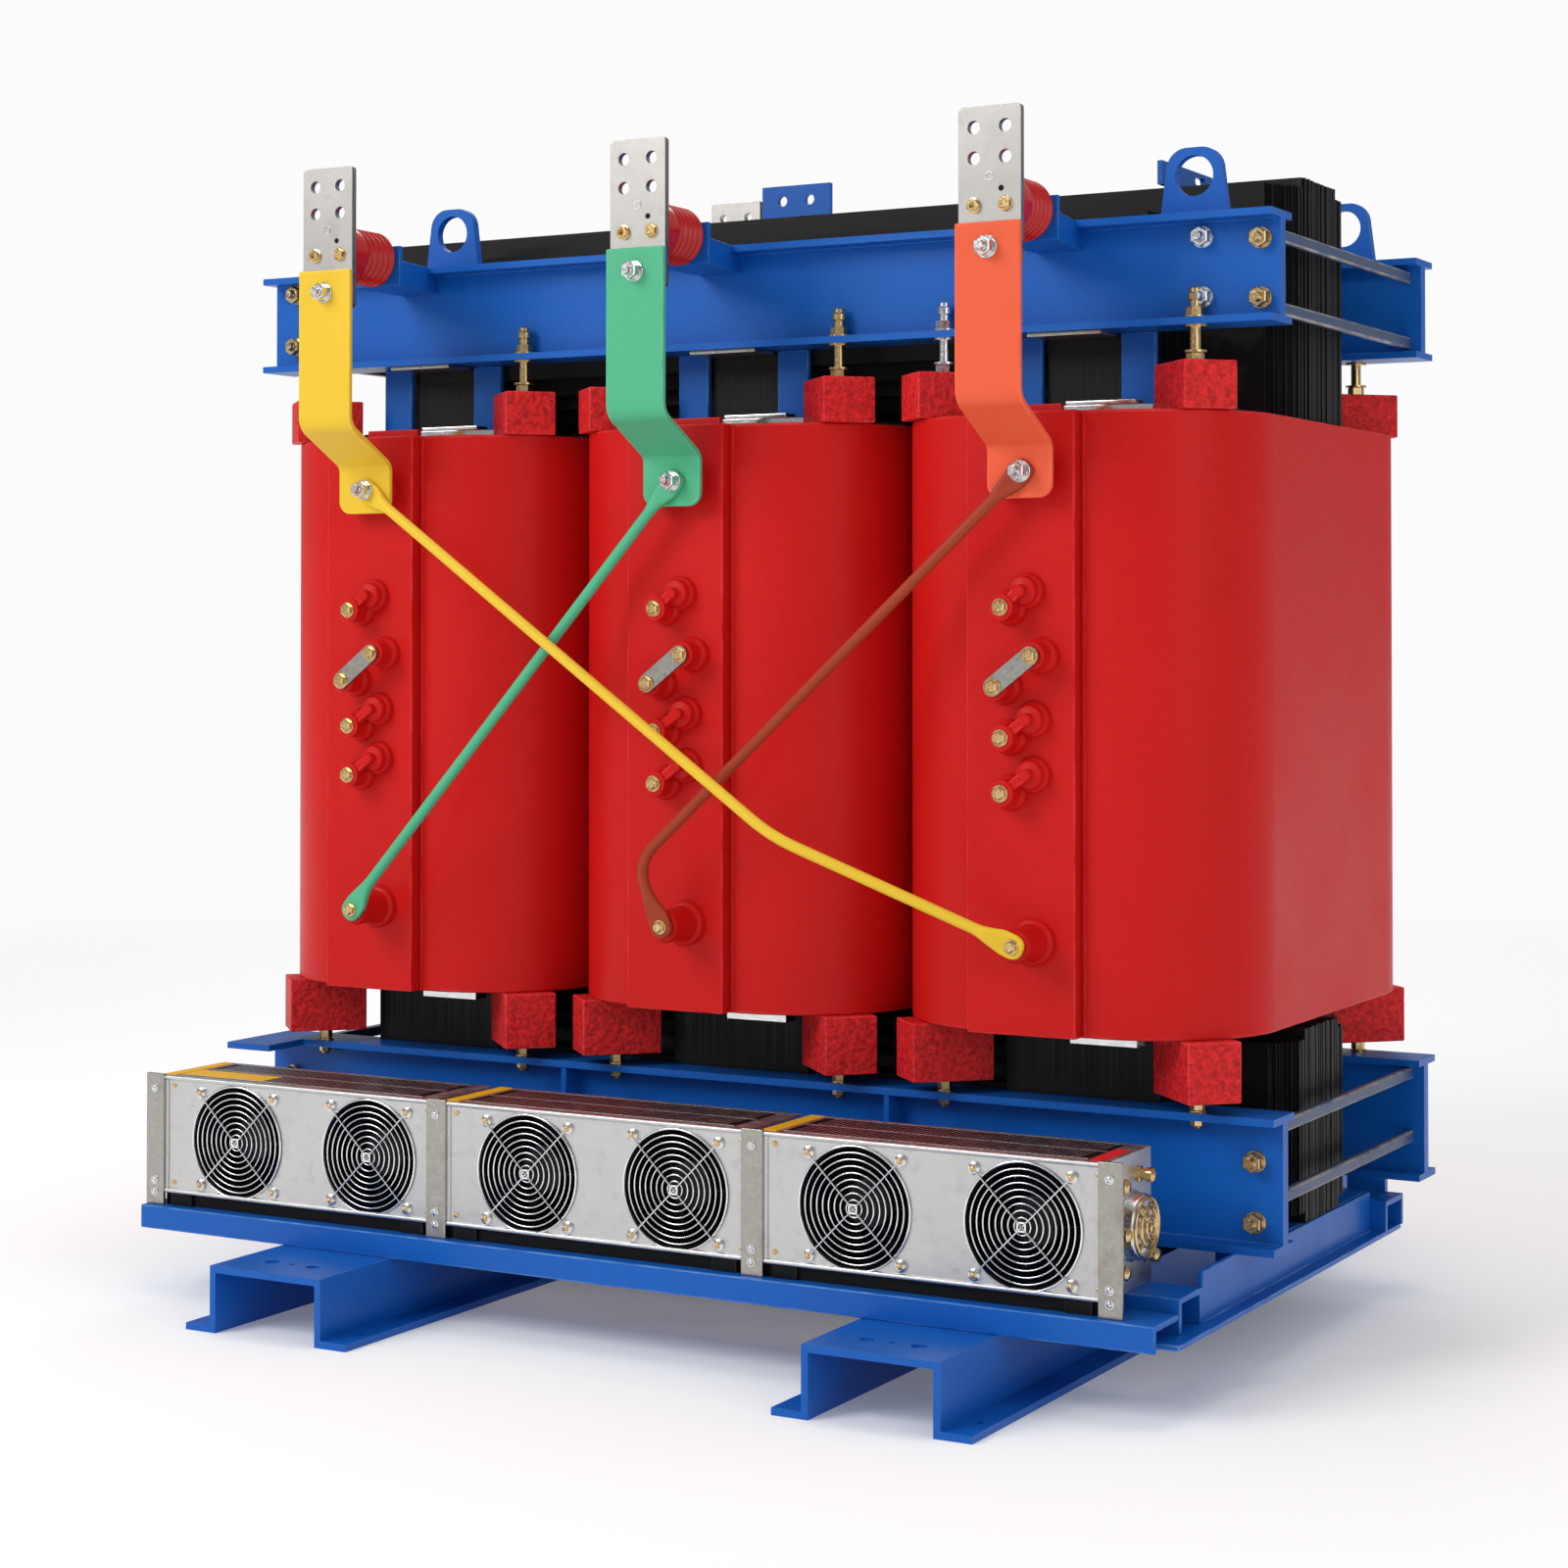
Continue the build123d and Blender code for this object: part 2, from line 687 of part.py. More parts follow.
# Black boards in front of the tie plates at the foot of each leg
with BuildPart() as foot_boards:
    with BuildSketch(Plane.XY.offset(lower_clamp_top)) as board_plan:
        tie_plate_face = core_half_depth + tie_plate_clearance + tie_plate_thickness
        for x in phases.values():
            for side in front_and_rear.values():
                with Locations((x, side * (tie_plate_face + foot_board_thickness / 2))):
                    Rectangle(2 * foot_board_half_width, foot_board_thickness)
    extrude(amount=coil_bottom - lower_clamp_top)
save(foot_boards, "leg_foot_boards")

# Inner foil coils, with the end of the foil showing below
for name, x in phases.items():
    with BuildPart() as lv_coil:
        with BuildSketch(Plane((x, 0, coil_bottom))):
            RectangleRounded(2 * lv_half_width, 2 * lv_half_depth, lv_corner_radius + lv_wall)
            RectangleRounded(
                2 * lv_inner_half_width,
                2 * lv_inner_half_depth,
                lv_corner_radius,
                mode=Mode.SUBTRACT,
            )
        extrude(amount=coil_height + lv_rise)
        with BuildSketch(Plane((x, 0, coil_bottom - foil_end_drop))) as foil_ends:
            for side in front_and_rear.values():
                with Locations(((foil_end_left + foil_end_right) / 2, side * (lv_half_depth - lv_wall / 2))):
                    Rectangle(foil_end_right - foil_end_left, lv_wall)
        extrude(amount=foil_end_drop)
    save(lv_coil, f"lv_coil_{name}")

# Cast outer coils with the tap field and its bosses
for name, x in phases.items():
    with BuildPart() as hv_coil:
        with BuildSketch(Plane((x, 0, coil_bottom))):
            RectangleRounded(2 * hv_half_width, 2 * hv_half_depth, hv_corner_radius)
            pad_x = (tap_pad_left + tap_pad_right) / 2
            with Locations((pad_x, (hv_wall - tap_pad_proud) / 2 - hv_half_depth)):
                Rectangle(tap_pad_right - tap_pad_left, hv_wall + tap_pad_proud)
            RectangleRounded(
                2 * (hv_half_width - hv_wall),
                2 * (hv_half_depth - hv_wall),
                hv_corner_radius - hv_wall,
                mode=Mode.SUBTRACT,
            )
        extrude(amount=coil_height)
        bolted_taps = [(x + first[0], first[1]) for first, second in tap_rows]
        blind_taps = [(x + second[0], second[1]) for first, second in tap_rows]
        terminals = [(x + terminal_x, upper_terminal_z), (x + terminal_x, lower_terminal_z)]
        with BuildSketch(front_plane(tap_pad_face)) as boss_bases:
            with Locations(*bolted_taps, *blind_taps):
                Circle(tap_base_radius)
            with Locations(*terminals):
                Circle(terminal_base_radius)
        extrude(amount=tap_base_length)
        with BuildSketch(front_plane(tap_pad_face)) as blind_studs:
            with Locations(*blind_taps):
                Circle(tap_stud_radius)
        extrude(amount=tap_blind_length)
        with BuildSketch(front_plane(tap_pad_face)) as bolted_studs:
            with Locations(*bolted_taps, blind_taps[linked_row]):
                Circle(tap_stud_radius)
        extrude(amount=tap_stud_length)
        for place, length in zip(terminals, (upper_terminal_length, lower_terminal_length)):
            with BuildSketch(front_plane(tap_pad_face)) as terminal_stud:
                with Locations(place):
                    Circle(terminal_stud_radius)
            extrude(amount=length)
    save(hv_coil, f"hv_coil_{name}")

# Links across the tap studs in use
with BuildPart() as tap_links:
    first, second = tap_rows[linked_row]
    with BuildSketch(front_plane(tap_pad_face + tap_stud_length)) as link_plan:
        for x in phases.values():
            start = (x + first[0], first[1])
            end = (x + second[0], second[1])
            reach = Vector(end[0] - start[0], end[1] - start[1])
            with Locations(((start[0] + end[0]) / 2, (start[1] + end[1]) / 2)):
                SlotCenterToCenter(reach.length, tap_link_width, rotation=degrees(atan2(reach.Y, reach.X)))
    extrude(amount=tap_link_thickness)
save(tap_links, "tap_links")


def corner_places(x):
    """Places of the four support blocks of one coil, each with its turn about the vertical."""
    return [
        Location((x + side * block_x, end * block_y, 0), (0, 0, side * end * block_turn))
        for side in (-1, 1)
        for end in (-1, 1)
    ]


# Support blocks
with BuildPart() as lower_blocks:
    with BuildSketch(Plane.XY.offset(lower_block_bottom)) as lower_block_plan:
        for x in phases.values():
            for place in corner_places(x):
                with Locations(place):
                    Rectangle(lower_block_length, block_width)
    extrude(amount=lower_block_height)
save(lower_blocks, "lower_support_blocks")

with BuildPart() as upper_blocks:
    with BuildSketch(Plane.XY.offset(coil_top)) as upper_block_plan:
        for x in phases.values():
            for place in corner_places(x):
                with Locations(place):
                    Rectangle(upper_block_length, block_width)
    extrude(amount=upper_block_height)
save(upper_blocks, "upper_support_blocks")

# Studs and nuts that press the blocks
stud_places = [
    (x + side * block_x, end * block_y)
    for x in phases.values()
    for side in (-1, 1)
    for end in (-1, 1)
]
flange_top = upper_clamp_bottom + clamp_flange_thickness
with BuildPart() as upper_studs:
    with BuildSketch(Plane.XY.offset(upper_block_top)) as upper_rods:
        with Locations(*stud_places):
            Circle(stud_radius)
    extrude(amount=upper_stud_gap + clamp_flange_thickness + stud_above_flange)
    for nut_z in (upper_block_top, upper_clamp_bottom - nut_height, flange_top, flange_top + 2 * nut_height):
        with BuildSketch(Plane.XY.offset(nut_z)) as upper_nuts:
            with Locations(*stud_places):
                RegularPolygon(nut_radius, 6)
        extrude(amount=nut_height)
save(upper_studs, "upper_block_studs")

with BuildPart() as lower_studs:
    with BuildSketch(Plane.XY.offset(lower_flange_bottom - stud_below_flange)) as lower_rods:
        with Locations(*stud_places):
            Circle(stud_radius)
    extrude(amount=stud_below_flange + clamp_flange_thickness + lower_stud_gap)
    flange_nut_z = lower_flange_bottom - lower_nut_height
    for nut_z, height in ((lower_clamp_top, lower_stud_gap), (flange_nut_z, lower_nut_height)):
        with BuildSketch(Plane.XY.offset(nut_z)) as lower_nuts:
            with Locations(*stud_places):
                RegularPolygon(lower_nut_radius, 6)
        extrude(amount=height)
save(lower_studs, "lower_block_studs")

# Brackets on the front upper clamp for the post insulators
with BuildPart() as brackets:
    for x in phases.values():
        left = x + bar_x - bracket_half_width
        right = x + bar_x + bracket_half_width
        outline = [
            (left, -insulator_back),
            (right, -insulator_back),
            (right - bracket_taper, -clamp_web_outer),
            (left, -clamp_web_outer),
        ]
        with BuildSketch(Plane.XY.offset(bracket_bottom)) as bracket_floor:
            with BuildLine():
                Polyline(*outline, close=True)
            make_face()
        extrude(amount=bracket_plate)
        with BuildSketch(Plane.XY.offset(bracket_bottom)) as bracket_walls:
            with BuildLine():
                Polyline(*outline, close=True)
            make_face()
            inner_outline = [
                (left + bracket_plate, bracket_plate - insulator_back),
                (right - bracket_plate, bracket_plate - insulator_back),
                (right - bracket_taper - bracket_plate, -clamp_web_outer),
                (left + bracket_plate, -clamp_web_outer),
            ]
            with BuildLine():
                Polyline(*inner_outline, close=True)
            make_face(mode=Mode.SUBTRACT)
        extrude(amount=upper_clamp_top - bracket_bottom)
        with BuildSketch(Plane.XY.offset(upper_clamp_top - clamp_flange_thickness)) as flange_room:
            with Locations(((left + right) / 2, -(clamp_web_outer + clamp_outer) / 2)):
                Rectangle(right - left, clamp_outer - clamp_web_outer)
        extrude(amount=clamp_flange_thickness, mode=Mode.SUBTRACT)
        with BuildSketch(front_plane(insulator_back - bracket_plate)) as bracket_face:
            with Locations((x + bar_x, (bracket_bottom + bracket_top) / 2)):
                Rectangle(2 * bracket_half_width, bracket_top - bracket_bottom)
        extrude(amount=bracket_plate)
save(brackets, "insulator_brackets")

# Ribbed post insulators
with BuildPart() as insulators:
    insulator_places = [(x + bar_x, insulator_z) for x in phases.values()]
    with BuildSketch(front_plane(insulator_back)) as cores:
        with Locations(*insulator_places):
            Circle(insulator_core_radius)
    extrude(amount=insulator_length)
    rib_step = (insulator_length - insulator_rib_thickness) / (insulator_rib_count - 1)
    for rib in range(insulator_rib_count):
        with BuildSketch(front_plane(insulator_back + rib * rib_step)) as ribs:
            with Locations(*insulator_places):
                Circle(insulator_rib_radius)
        extrude(amount=insulator_rib_thickness)
save(insulators, "post_insulators")

# Terminal plates
with BuildPart() as terminal_plates:
    with BuildSketch(front_plane(insulator_front)) as plate_faces:
        for x in phases.values():
            with Locations((x + bar_x, (terminal_plate_bottom + terminal_plate_top) / 2)):
                Rectangle(terminal_plate_width, terminal_plate_top - terminal_plate_bottom)
            with Locations((x + bar_x, terminal_plate_top - terminal_hole_top - terminal_hole_spacing_z / 2)):
                with GridLocations(terminal_hole_spacing_x, terminal_hole_spacing_z, 2, 2):
                    Circle(terminal_hole_radius, mode=Mode.SUBTRACT)
    extrude(amount=terminal_plate_thickness)
save(terminal_plates, "hv_terminal_plates")

# Phase bars: a foot on the coil terminal, a joggle outwards and an upright
for name, x in phases.items():
    with BuildPart() as phase_bar:
        with BuildSketch(Plane.YZ.offset(x + bar_x - bar_width / 2)) as bar_section:
            with BuildLine() as bar_line:
                FilletPolyline(
                    (-bar_back, upper_terminal_z - bar_foot_drop),
                    (-bar_back, upper_terminal_z + bar_lower_bend),
                    (-upper_bar_back, upper_terminal_z + bar_upper_bend),
                    (-upper_bar_back, bar_top),
                    radius=bar_bend_radius,
                )
                offset(amount=bar_thickness, side=Side.LEFT)
            make_face()
        extrude(amount=bar_width)
    save(phase_bar, f"phase_bar_{name}")


def link(start, end, bend=None):
    """A rod between two terminals, straight or with one bend, and its flattened ends."""
    towards_end = (Vector(*(bend or end)[:2]) - Vector(*start[:2])).normalized()
    towards_start = (Vector(*(bend or start)[:2]) - Vector(*end[:2])).normalized()
    ends = ((start, towards_end), (end, towards_start))
    off_lug = link_rod_standoff + link_rod_radius
    first, last = (
        (x + link_rod_start * way.X, -depth - off_lug, z + link_rod_start * way.Y)
        for (x, z, depth), way in ends
    )
    with BuildPart() as rod:
        with BuildLine() as path:
            if bend:
                bend_x, bend_z, bend_depth = bend
                FilletPolyline(first, (bend_x, -bend_depth, bend_z), last, radius=link_bend_radius)
            else:
                Line(first, last)
        with BuildSketch(Plane(origin=path.line @ 0, z_dir=path.line % 0)) as round_section:
            Circle(link_rod_radius)
        sweep()
        for (x, z, depth), way in ends:
            with BuildSketch(front_plane(depth)) as lug:
                with Locations((x + way.X * link_lug_length / 4, z + way.Y * link_lug_length / 4)):
                    SlotOverall(link_lug_length, link_lug_width, rotation=degrees(atan2(way.Y, way.X)))
            extrude(amount=link_lug_thickness)
    return rod


upper_depth = bar_front
lower_depth = tap_pad_face + lower_terminal_length
upper_ends = {name: (x + terminal_x, upper_terminal_z, upper_depth) for name, x in phases.items()}
lower_ends = {name: (x + terminal_x, lower_terminal_z, lower_depth) for name, x in phases.items()}
yellow_bend = (yellow_bend_x, lower_terminal_z + yellow_bend_rise, yellow_bend_depth)
brown_bend = (brown_bend_x, lower_terminal_z + brown_bend_rise, brown_bend_depth)
save(link(upper_ends["left"], lower_ends["right"], yellow_bend), "phase_link_yellow")
save(link(upper_ends["middle"], lower_ends["left"]), "phase_link_green")
save(link(upper_ends["right"], lower_ends["middle"], brown_bend), "phase_link_brown")

# Low-voltage bars: a foot on the foil coil and an upright behind the rear clamp
with BuildPart() as lv_bars:
    foot_bottom = coil_top + lv_rise
    with BuildSketch(Plane.XY.offset(foot_bottom)) as lv_feet:
        for x in phases.values():
            with Locations((x, (lv_inner_half_depth + lv_bar_face + lv_bar_thickness) / 2)):
                Rectangle(lv_bar_width, lv_bar_face + lv_bar_thickness - lv_inner_half_depth)
    extrude(amount=lv_bar_thickness)
    with BuildSketch(front_plane(-lv_bar_face - lv_bar_thickness)) as lv_uprights:
        for x in phases.values():
            with Locations((x, (foot_bottom + lv_bar_top) / 2)):
                Rectangle(lv_bar_width, lv_bar_top - foot_bottom)
            with Locations((x, lv_bar_top - lv_hole_top - lv_hole_spacing / 2)):
                with GridLocations(lv_hole_spacing, lv_hole_spacing, 2, 2):
                    Circle(lv_hole_radius, mode=Mode.SUBTRACT)
    extrude(amount=lv_bar_thickness)
save(lv_bars, "lv_terminal_bars")

# Supports between the rear upper clamp and the low-voltage bars
with BuildPart() as lv_supports:
    with BuildSketch(front_plane(-lv_bar_face)) as support_faces:
        for x in phases.values():
            with Locations((x, upper_clamp_bottom + clamp_flange_thickness / 2)):
                Rectangle(lv_support_width, lv_support_height)
    extrude(amount=lv_bar_face - clamp_outer)
save(lv_supports, "lv_bar_supports")

# Neutral plate and bracket plate on the rear upper clamp
with BuildPart() as neutral_plate:
    with BuildSketch(front_plane(-clamp_web_outer)) as neutral_face:
        with Locations((neutral_x, (upper_clamp_top + neutral_top) / 2)):
            Rectangle(neutral_width, neutral_top - upper_clamp_top)
        with Locations((neutral_x, neutral_top - rear_hole_drop)):
            with GridLocations(neutral_hole_spacing, 0, 2, 1):
                Circle(neutral_hole_radius, mode=Mode.SUBTRACT)
    extrude(amount=lv_bar_thickness)
save(neutral_plate, "neutral_plate")

with BuildPart() as bracket_plate_rear:
    with BuildSketch(front_plane(-clamp_web_outer)) as rear_plate_face:
        with Locations((rear_plate_x, (upper_clamp_top + rear_plate_top) / 2)):
            Rectangle(rear_plate_width, rear_plate_top - upper_clamp_top)
        with Locations((rear_plate_x, rear_plate_top - rear_hole_drop)):
            with GridLocations(rear_plate_hole_spacing, 0, 2, 1):
                Circle(rear_plate_hole_radius, mode=Mode.SUBTRACT)
    extrude(amount=rear_plate_thickness)
save(bracket_plate_rear, "rear_bracket_plate")

# Slotted bracket that stands on the upper yoke
with BuildPart() as slotted_bracket:
    with BuildSketch(Plane.YZ.offset(slotted_x)) as slotted_face:
        with Locations((0, (upper_yoke_top + slotted_top) / 2)):
            Rectangle(2 * slotted_half_length, slotted_top - upper_yoke_top)
        with Locations((0, slotted_top - slot_width)):
            with GridLocations(slotted_half_length, 0, 2, 1):
                SlotOverall(slot_length, slot_width, mode=Mode.SUBTRACT)
    extrude(amount=slotted_thickness)
save(slotted_bracket, "slotted_bracket")
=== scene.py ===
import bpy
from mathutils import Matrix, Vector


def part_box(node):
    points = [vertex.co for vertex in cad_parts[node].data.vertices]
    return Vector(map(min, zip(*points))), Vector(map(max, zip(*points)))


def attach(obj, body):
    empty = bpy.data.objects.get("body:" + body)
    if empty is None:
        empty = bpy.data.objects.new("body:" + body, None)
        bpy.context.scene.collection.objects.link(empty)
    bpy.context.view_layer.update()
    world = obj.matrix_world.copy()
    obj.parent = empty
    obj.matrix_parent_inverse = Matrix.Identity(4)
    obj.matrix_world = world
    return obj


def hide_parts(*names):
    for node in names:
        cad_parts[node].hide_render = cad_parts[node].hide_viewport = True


bl_info = {
    "name": "Cast-Resin Transformer",
    "version": (1, 0, 0),
    "blender": (4, 5, 0),
    "location": "View3D > Sidebar > Transformer",
    "description": "Dresses a packed dry-type transformer with its finished pieces, materials, floor, light and camera",
    "category": "Object",
}

import random
from math import cos, pi, radians, sin, tau

import bmesh
import bpy
from mathutils import Matrix, Vector

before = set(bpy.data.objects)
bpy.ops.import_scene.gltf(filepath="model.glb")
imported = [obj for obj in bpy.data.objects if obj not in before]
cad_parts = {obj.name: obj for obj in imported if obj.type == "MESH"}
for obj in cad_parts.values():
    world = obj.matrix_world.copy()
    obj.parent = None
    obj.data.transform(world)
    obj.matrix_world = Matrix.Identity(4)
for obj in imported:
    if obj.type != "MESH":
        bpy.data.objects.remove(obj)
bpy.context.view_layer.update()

ROOT = "transformer"
PHASES = ("left", "middle", "right")
SIDES = (-1, 1)
CORNERS = [(x, y) for x in SIDES for y in SIDES]
FAN_COUNT = 6

# Directions that pieces are built along
TO_FRONT = Vector((0, -1, 0))
TO_REAR = Vector((0, 1, 0))
TO_RIGHT = Vector((1, 0, 0))
UPWARDS = Vector((0, 0, 1))


def low(node):
    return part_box(node)[0]


def high(node):
    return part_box(node)[1]


def centre(node):
    return (low(node) + high(node)) / 2


# Places taken from the frame
phase_x = {name: centre(f"lv_coil_{name}").x for name in PHASES}
coil_half_width = (high("hv_coil_middle").x - low("hv_coil_middle").x) / 2
coil_half_depth = high("hv_coil_middle").y
coil_bottom = low("hv_coil_middle").z
coil_top = high("hv_coil_middle").z
foil_half = (high("lv_coil_middle") - low("lv_coil_middle")) / 2
plate_front = low("hv_terminal_plates").y
bar_front = low("phase_bar_middle").y
fan_x = [centre(f"fan_impeller_{number}").x for number in range(1, FAN_COUNT + 1)]
fan_z = centre("fan_box_end_cover").z
box_front = low("fan_box_middle").y
box_back = high("fan_box_middle").y
box_top = high("fan_box_middle").z
box_bottom = low("fan_box_middle").z

# Core packets from the middle outwards: half depth, half leg width, height lost at each yoke edge
CORE_PACKETS = (
    (0.070, 0.150, 0.0), (0.145, 0.143, 0.015), (0.190, 0.132, 0.035), (0.228, 0.112, 0.055), (0.277, 0.058, 0.078),
)
# Length that the yoke loses at each end, at these distances from the core's middle
YOKE_LOSSES = ((0.0, 0.0), (0.092, 0.0), (0.145, 0.030), (0.146, 0.140), (0.190, 0.165), (0.277, 0.188))
FULL_YOKE_DEPTH = 0.145
SKIRT_LENGTH = 0.055

# Tap field of each coil, from the phase's centre line: the bolted boss and the boss beside it in each row
TAP_ROWS = (
    ((-0.034, 1.037), (-0.009, 1.059)),
    ((-0.043, 0.929), (0.012, 0.971)),
    ((-0.034, 0.860), (0.000, 0.885)),
    ((-0.034, 0.785), (0.000, 0.810)),
)
LINKED_ROW = 1
BOSS_LENGTH = 0.038
BAR_X = -0.008
TERMINAL_X = -0.002
UPPER_TERMINAL_Z = 1.220
LOWER_TERMINAL_Z = 0.583
LOWER_TERMINAL_LENGTH = 0.062
UPPER_LUG_BACK = -0.481
LOWER_LUG_BACK = -0.512

# Pad and casting seam on each coil's front: sides from the phase's centre line, and depths from the coil's face
PAD_LEFT = -0.102
PAD_RIGHT = 0.060
PAD_ROOT = 0.030
SEAM_LEFT = 0.0625
SEAM_RIGHT = 0.0675
SEAM_PROUD = 0.0022
SEAM_ROOT = 0.010

# Foil coils: corner and wall in plan, and the ends of the foil that show in front and behind
FOIL_CORNER = 0.142
FOIL_WALL = 0.032
FOIL_END_LEFT = 0.005
FOIL_END_RIGHT = 0.105
FOIL_END_DEPTH = 0.030

# Clamping beams: outer face of the web, thickness of a flange, and the height over the flanges
WEB_FACE = 0.322
FLANGE = 0.010
BEAM_HEIGHTS = {"lower": 0.183, "upper": 0.152}
BRASS_CLAMP_BOLTS = (
    (0.829, 1.536), (0.829, 1.455), (-0.813, 1.548), (-0.813, 1.464),
    (0.817, 0.291), (0.817, 0.209), (-0.817, 0.291), (-0.817, 0.209),
)
SILVER_CLAMP_BOLTS = ((0.745, 1.542), (0.745, 1.460))

# Packing pieces below the upper clamps
PACKING_INNER_Y = 0.291
PACKING_OUTER_Y = 0.350
PACKING_HALF_LENGTH = 0.056
PACKING_THICKNESS = 0.006

# Terminal plates: the bar's bolt, and the marks and screws beside the plate's middle
BAR_BOLT_Z = 1.513
PUNCH_Z = 1.608
PLATE_SCREW_X = 0.023
PLATE_SCREW_Z = 1.570
PIN_HOLE_X = 0.017
PIN_HOLE_Z = 1.591

# Links: colour, upper and lower phase, and the bend of the centre line. Then the sleeve at each distance from
# its bolt, as half width, half thickness and squareness
LINK_SECTIONS = (
    (-0.0154, 0.0060, 0.0036, 4), (-0.013, 0.0115, 0.0040, 5), (-0.008, 0.0152, 0.0041, 6),
    (0.0, 0.0170, 0.0041, 6), (0.012, 0.0168, 0.0041, 6), (0.020, 0.0160, 0.0044, 5),
    (0.038, 0.0112, 0.0070, 3), (0.048, 0.0092, 0.0082, 2.2), (0.060, 0.0080, 0.0080, 2),
)
FLAT_SECTIONS = 6
LUG_CENTRE = 0.0042
SLEEVE_CENTRE = 0.0085
LINKS = (
    ("yellow", "left", "right", Vector((0.206, -0.566, 0.722))),
    ("green", "middle", "left", None),
    ("brown", "right", "middle", Vector((-0.041, -0.521, 0.672))),
)
BEND_REACH = 0.040

# Fan row: guard rings and screws, air ducts, slots of the air outlets, and the strap screws
GUARD_RINGS = 9
GUARD_SCREW_MARGIN = 0.0145
HUB_SQUARE = 0.0055
DUCT_DEPTH = 0.110
MOTOR_RADIUS = 0.035
DUCT_LIP = 0.0012
LINING = 0.0016
SLOT_WIDTH = 0.0034
SLOT_SLANT = 0.020
GUARD_CORNERS = (45, 135, 225, 315)
STRAP_X = (-0.8385, -0.3135, 0.2115, 0.7365)
STRAP_SCREW_Z = (0.308, 0.168, 0.150)

# Studs of the support blocks, from the phase's centre line
BLOCK_X = 0.190
BLOCK_Y = 0.338
UPPER_NUT = 0.0215
NUT_TOP = 0.0135
NECK_HEIGHT = 0.023

# Camera at the photograph's angle, for a square picture
PICTURE = 1600
CAMERA_PLACE = Vector((2.24486, -4.16296, 1.00416))
CAMERA_TURN = 29.3
CAMERA_PITCH = 1.0
CAMERA_FOCUS = 3059.3
HORIZON_ROW = 590.9
SENSOR = 36

# Studio: level of the backdrop, reach of the lit floor, and the lamps as name, place, size and power
BACKDROP = 0.97
FLOOR_LIT_TO = 2.2
FLOOR_PALE_FROM = 6.5
LAMP_TARGET = Vector((0, 0, 0.9))
LAMPS = (
    ("key", (-3.2, -5.2, 4.6), 3.4, 240),
    ("fill", (5.5, -3.0, 2.6), 3.2, 45),
    ("top", (0.5, 0.5, 5.5), 3.0, 75),
    ("rim", (-2.5, 5.0, 3.4), 3.0, 60),
)


def size_property(name, description, default, lowest, highest):
    return bpy.props.FloatProperty(
        name=name, description=description, default=default, min=lowest, max=highest, subtype="DISTANCE", unit="LENGTH")


def colour_property(name, description, default):
    return bpy.props.FloatVectorProperty(
        name=name, description=description, default=default, subtype="COLOR", size=3, min=0, max=1)


class TransformerSizes(bpy.types.PropertyGroup):
    """Sizes of the pieces that dress the frame"""

    edge_round: size_property("Edge Rounding", "Rounding on the edges of rolled and cut steel", 0.0022, 0.0002, 0.01)
    weld_bead: size_property("Weld Bead", "Radius of the weld beads along the clamping beams", 0.0032, 0.001, 0.01)
    coil_wall: size_property("Coil Wall", "Thickness of the cast coils' walls", 0.058, 0.01, 0.07)
    coil_corner: size_property("Coil Corner", "Radius of the cast coils' upright corners", 0.190, 0.05, 0.25)
    coil_lip: size_property("Coil Lip", "Rounding at the top and bottom edges of the cast coils", 0.004, 0.001, 0.02)
    pad_proud: size_property("Tap Pad", "How far the tap pad stands out of the coil", 0.020, 0.005, 0.02)
    sheet: size_property("Core Sheet Bundle", "Thickness of one visible bundle of core sheets", 0.0062, 0.002, 0.03)
    guard_wire: size_property("Guard Wire", "Thickness of the fan guards' wire", 0.0024, 0.001, 0.005)
    guard_radius: size_property("Guard Radius", "Radius of the outer ring of each fan guard", 0.0835, 0.06, 0.09)
    grille_pitch: size_property("Grille Pitch", "Distance between the bars of the air outlets", 0.0085, 0.004, 0.03)


class TransformerColours(bpy.types.PropertyGroup):
    """Colours of the finishes"""

    blue: colour_property("Frame Blue", "Paint of the steel frame", (0.004, 0.105, 0.46))
    resin: colour_property("Resin Red", "Cast resin of the coils", (0.56, 0.008, 0.007))
    block: colour_property("Block Red", "Moulding of the support blocks", (0.62, 0.018, 0.020))
    insulator: colour_property("Insulator Red", "Glossy moulding of the post insulators", (0.50, 0.010, 0.010))
    yellow: colour_property("First Phase", "Sleeve of the left phase", (0.78, 0.515, 0.036))
    green: colour_property("Second Phase", "Sleeve of the middle phase", (0.085, 0.44, 0.24))
    orange: colour_property("Third Phase", "Sleeve of the right phase", (0.80, 0.118, 0.050))
    brown: colour_property("Third Link", "Sleeve of the link from the right phase", (0.34, 0.048, 0.020))
    core: colour_property("Core Black", "Paint on the core's sheet edges", (0.0045, 0.0045, 0.005))


# Materials

def node(tree, kind, inputs=None, **settings):
    """Adds a shader node. A value that is a socket is linked, and any other is set."""
    made = tree.nodes.new(kind)
    for name, value in settings.items():
        setattr(made, name, value)
    for name, value in (inputs or {}).items():
        if isinstance(value, bpy.types.NodeSocket):
            tree.links.new(value, made.inputs[name])
        else:
            made.inputs[name].default_value = value
    return made


def opaque(colour):
    return (*colour[:3], 1.0)


def grey(level):
    return (level, level, level, 1.0)


def mix(tree, factor, first, second):
    """Mixes two colours, each given as a socket or a value."""
    made = node(tree, "ShaderNodeMix", {"Factor": factor, "A": first, "B": second}, data_type="RGBA")
    return made.outputs["Result"]


def object_place(tree):
    return node(tree, "ShaderNodeTexCoord").outputs["Object"]


def noise(tree, place, scale, detail, **settings):
    """Soft noise between 0 and 1."""
    inputs = {"Vector": place, "Scale": scale, "Detail": detail, **settings}
    return node(tree, "ShaderNodeTexNoise", inputs).outputs["Fac"]


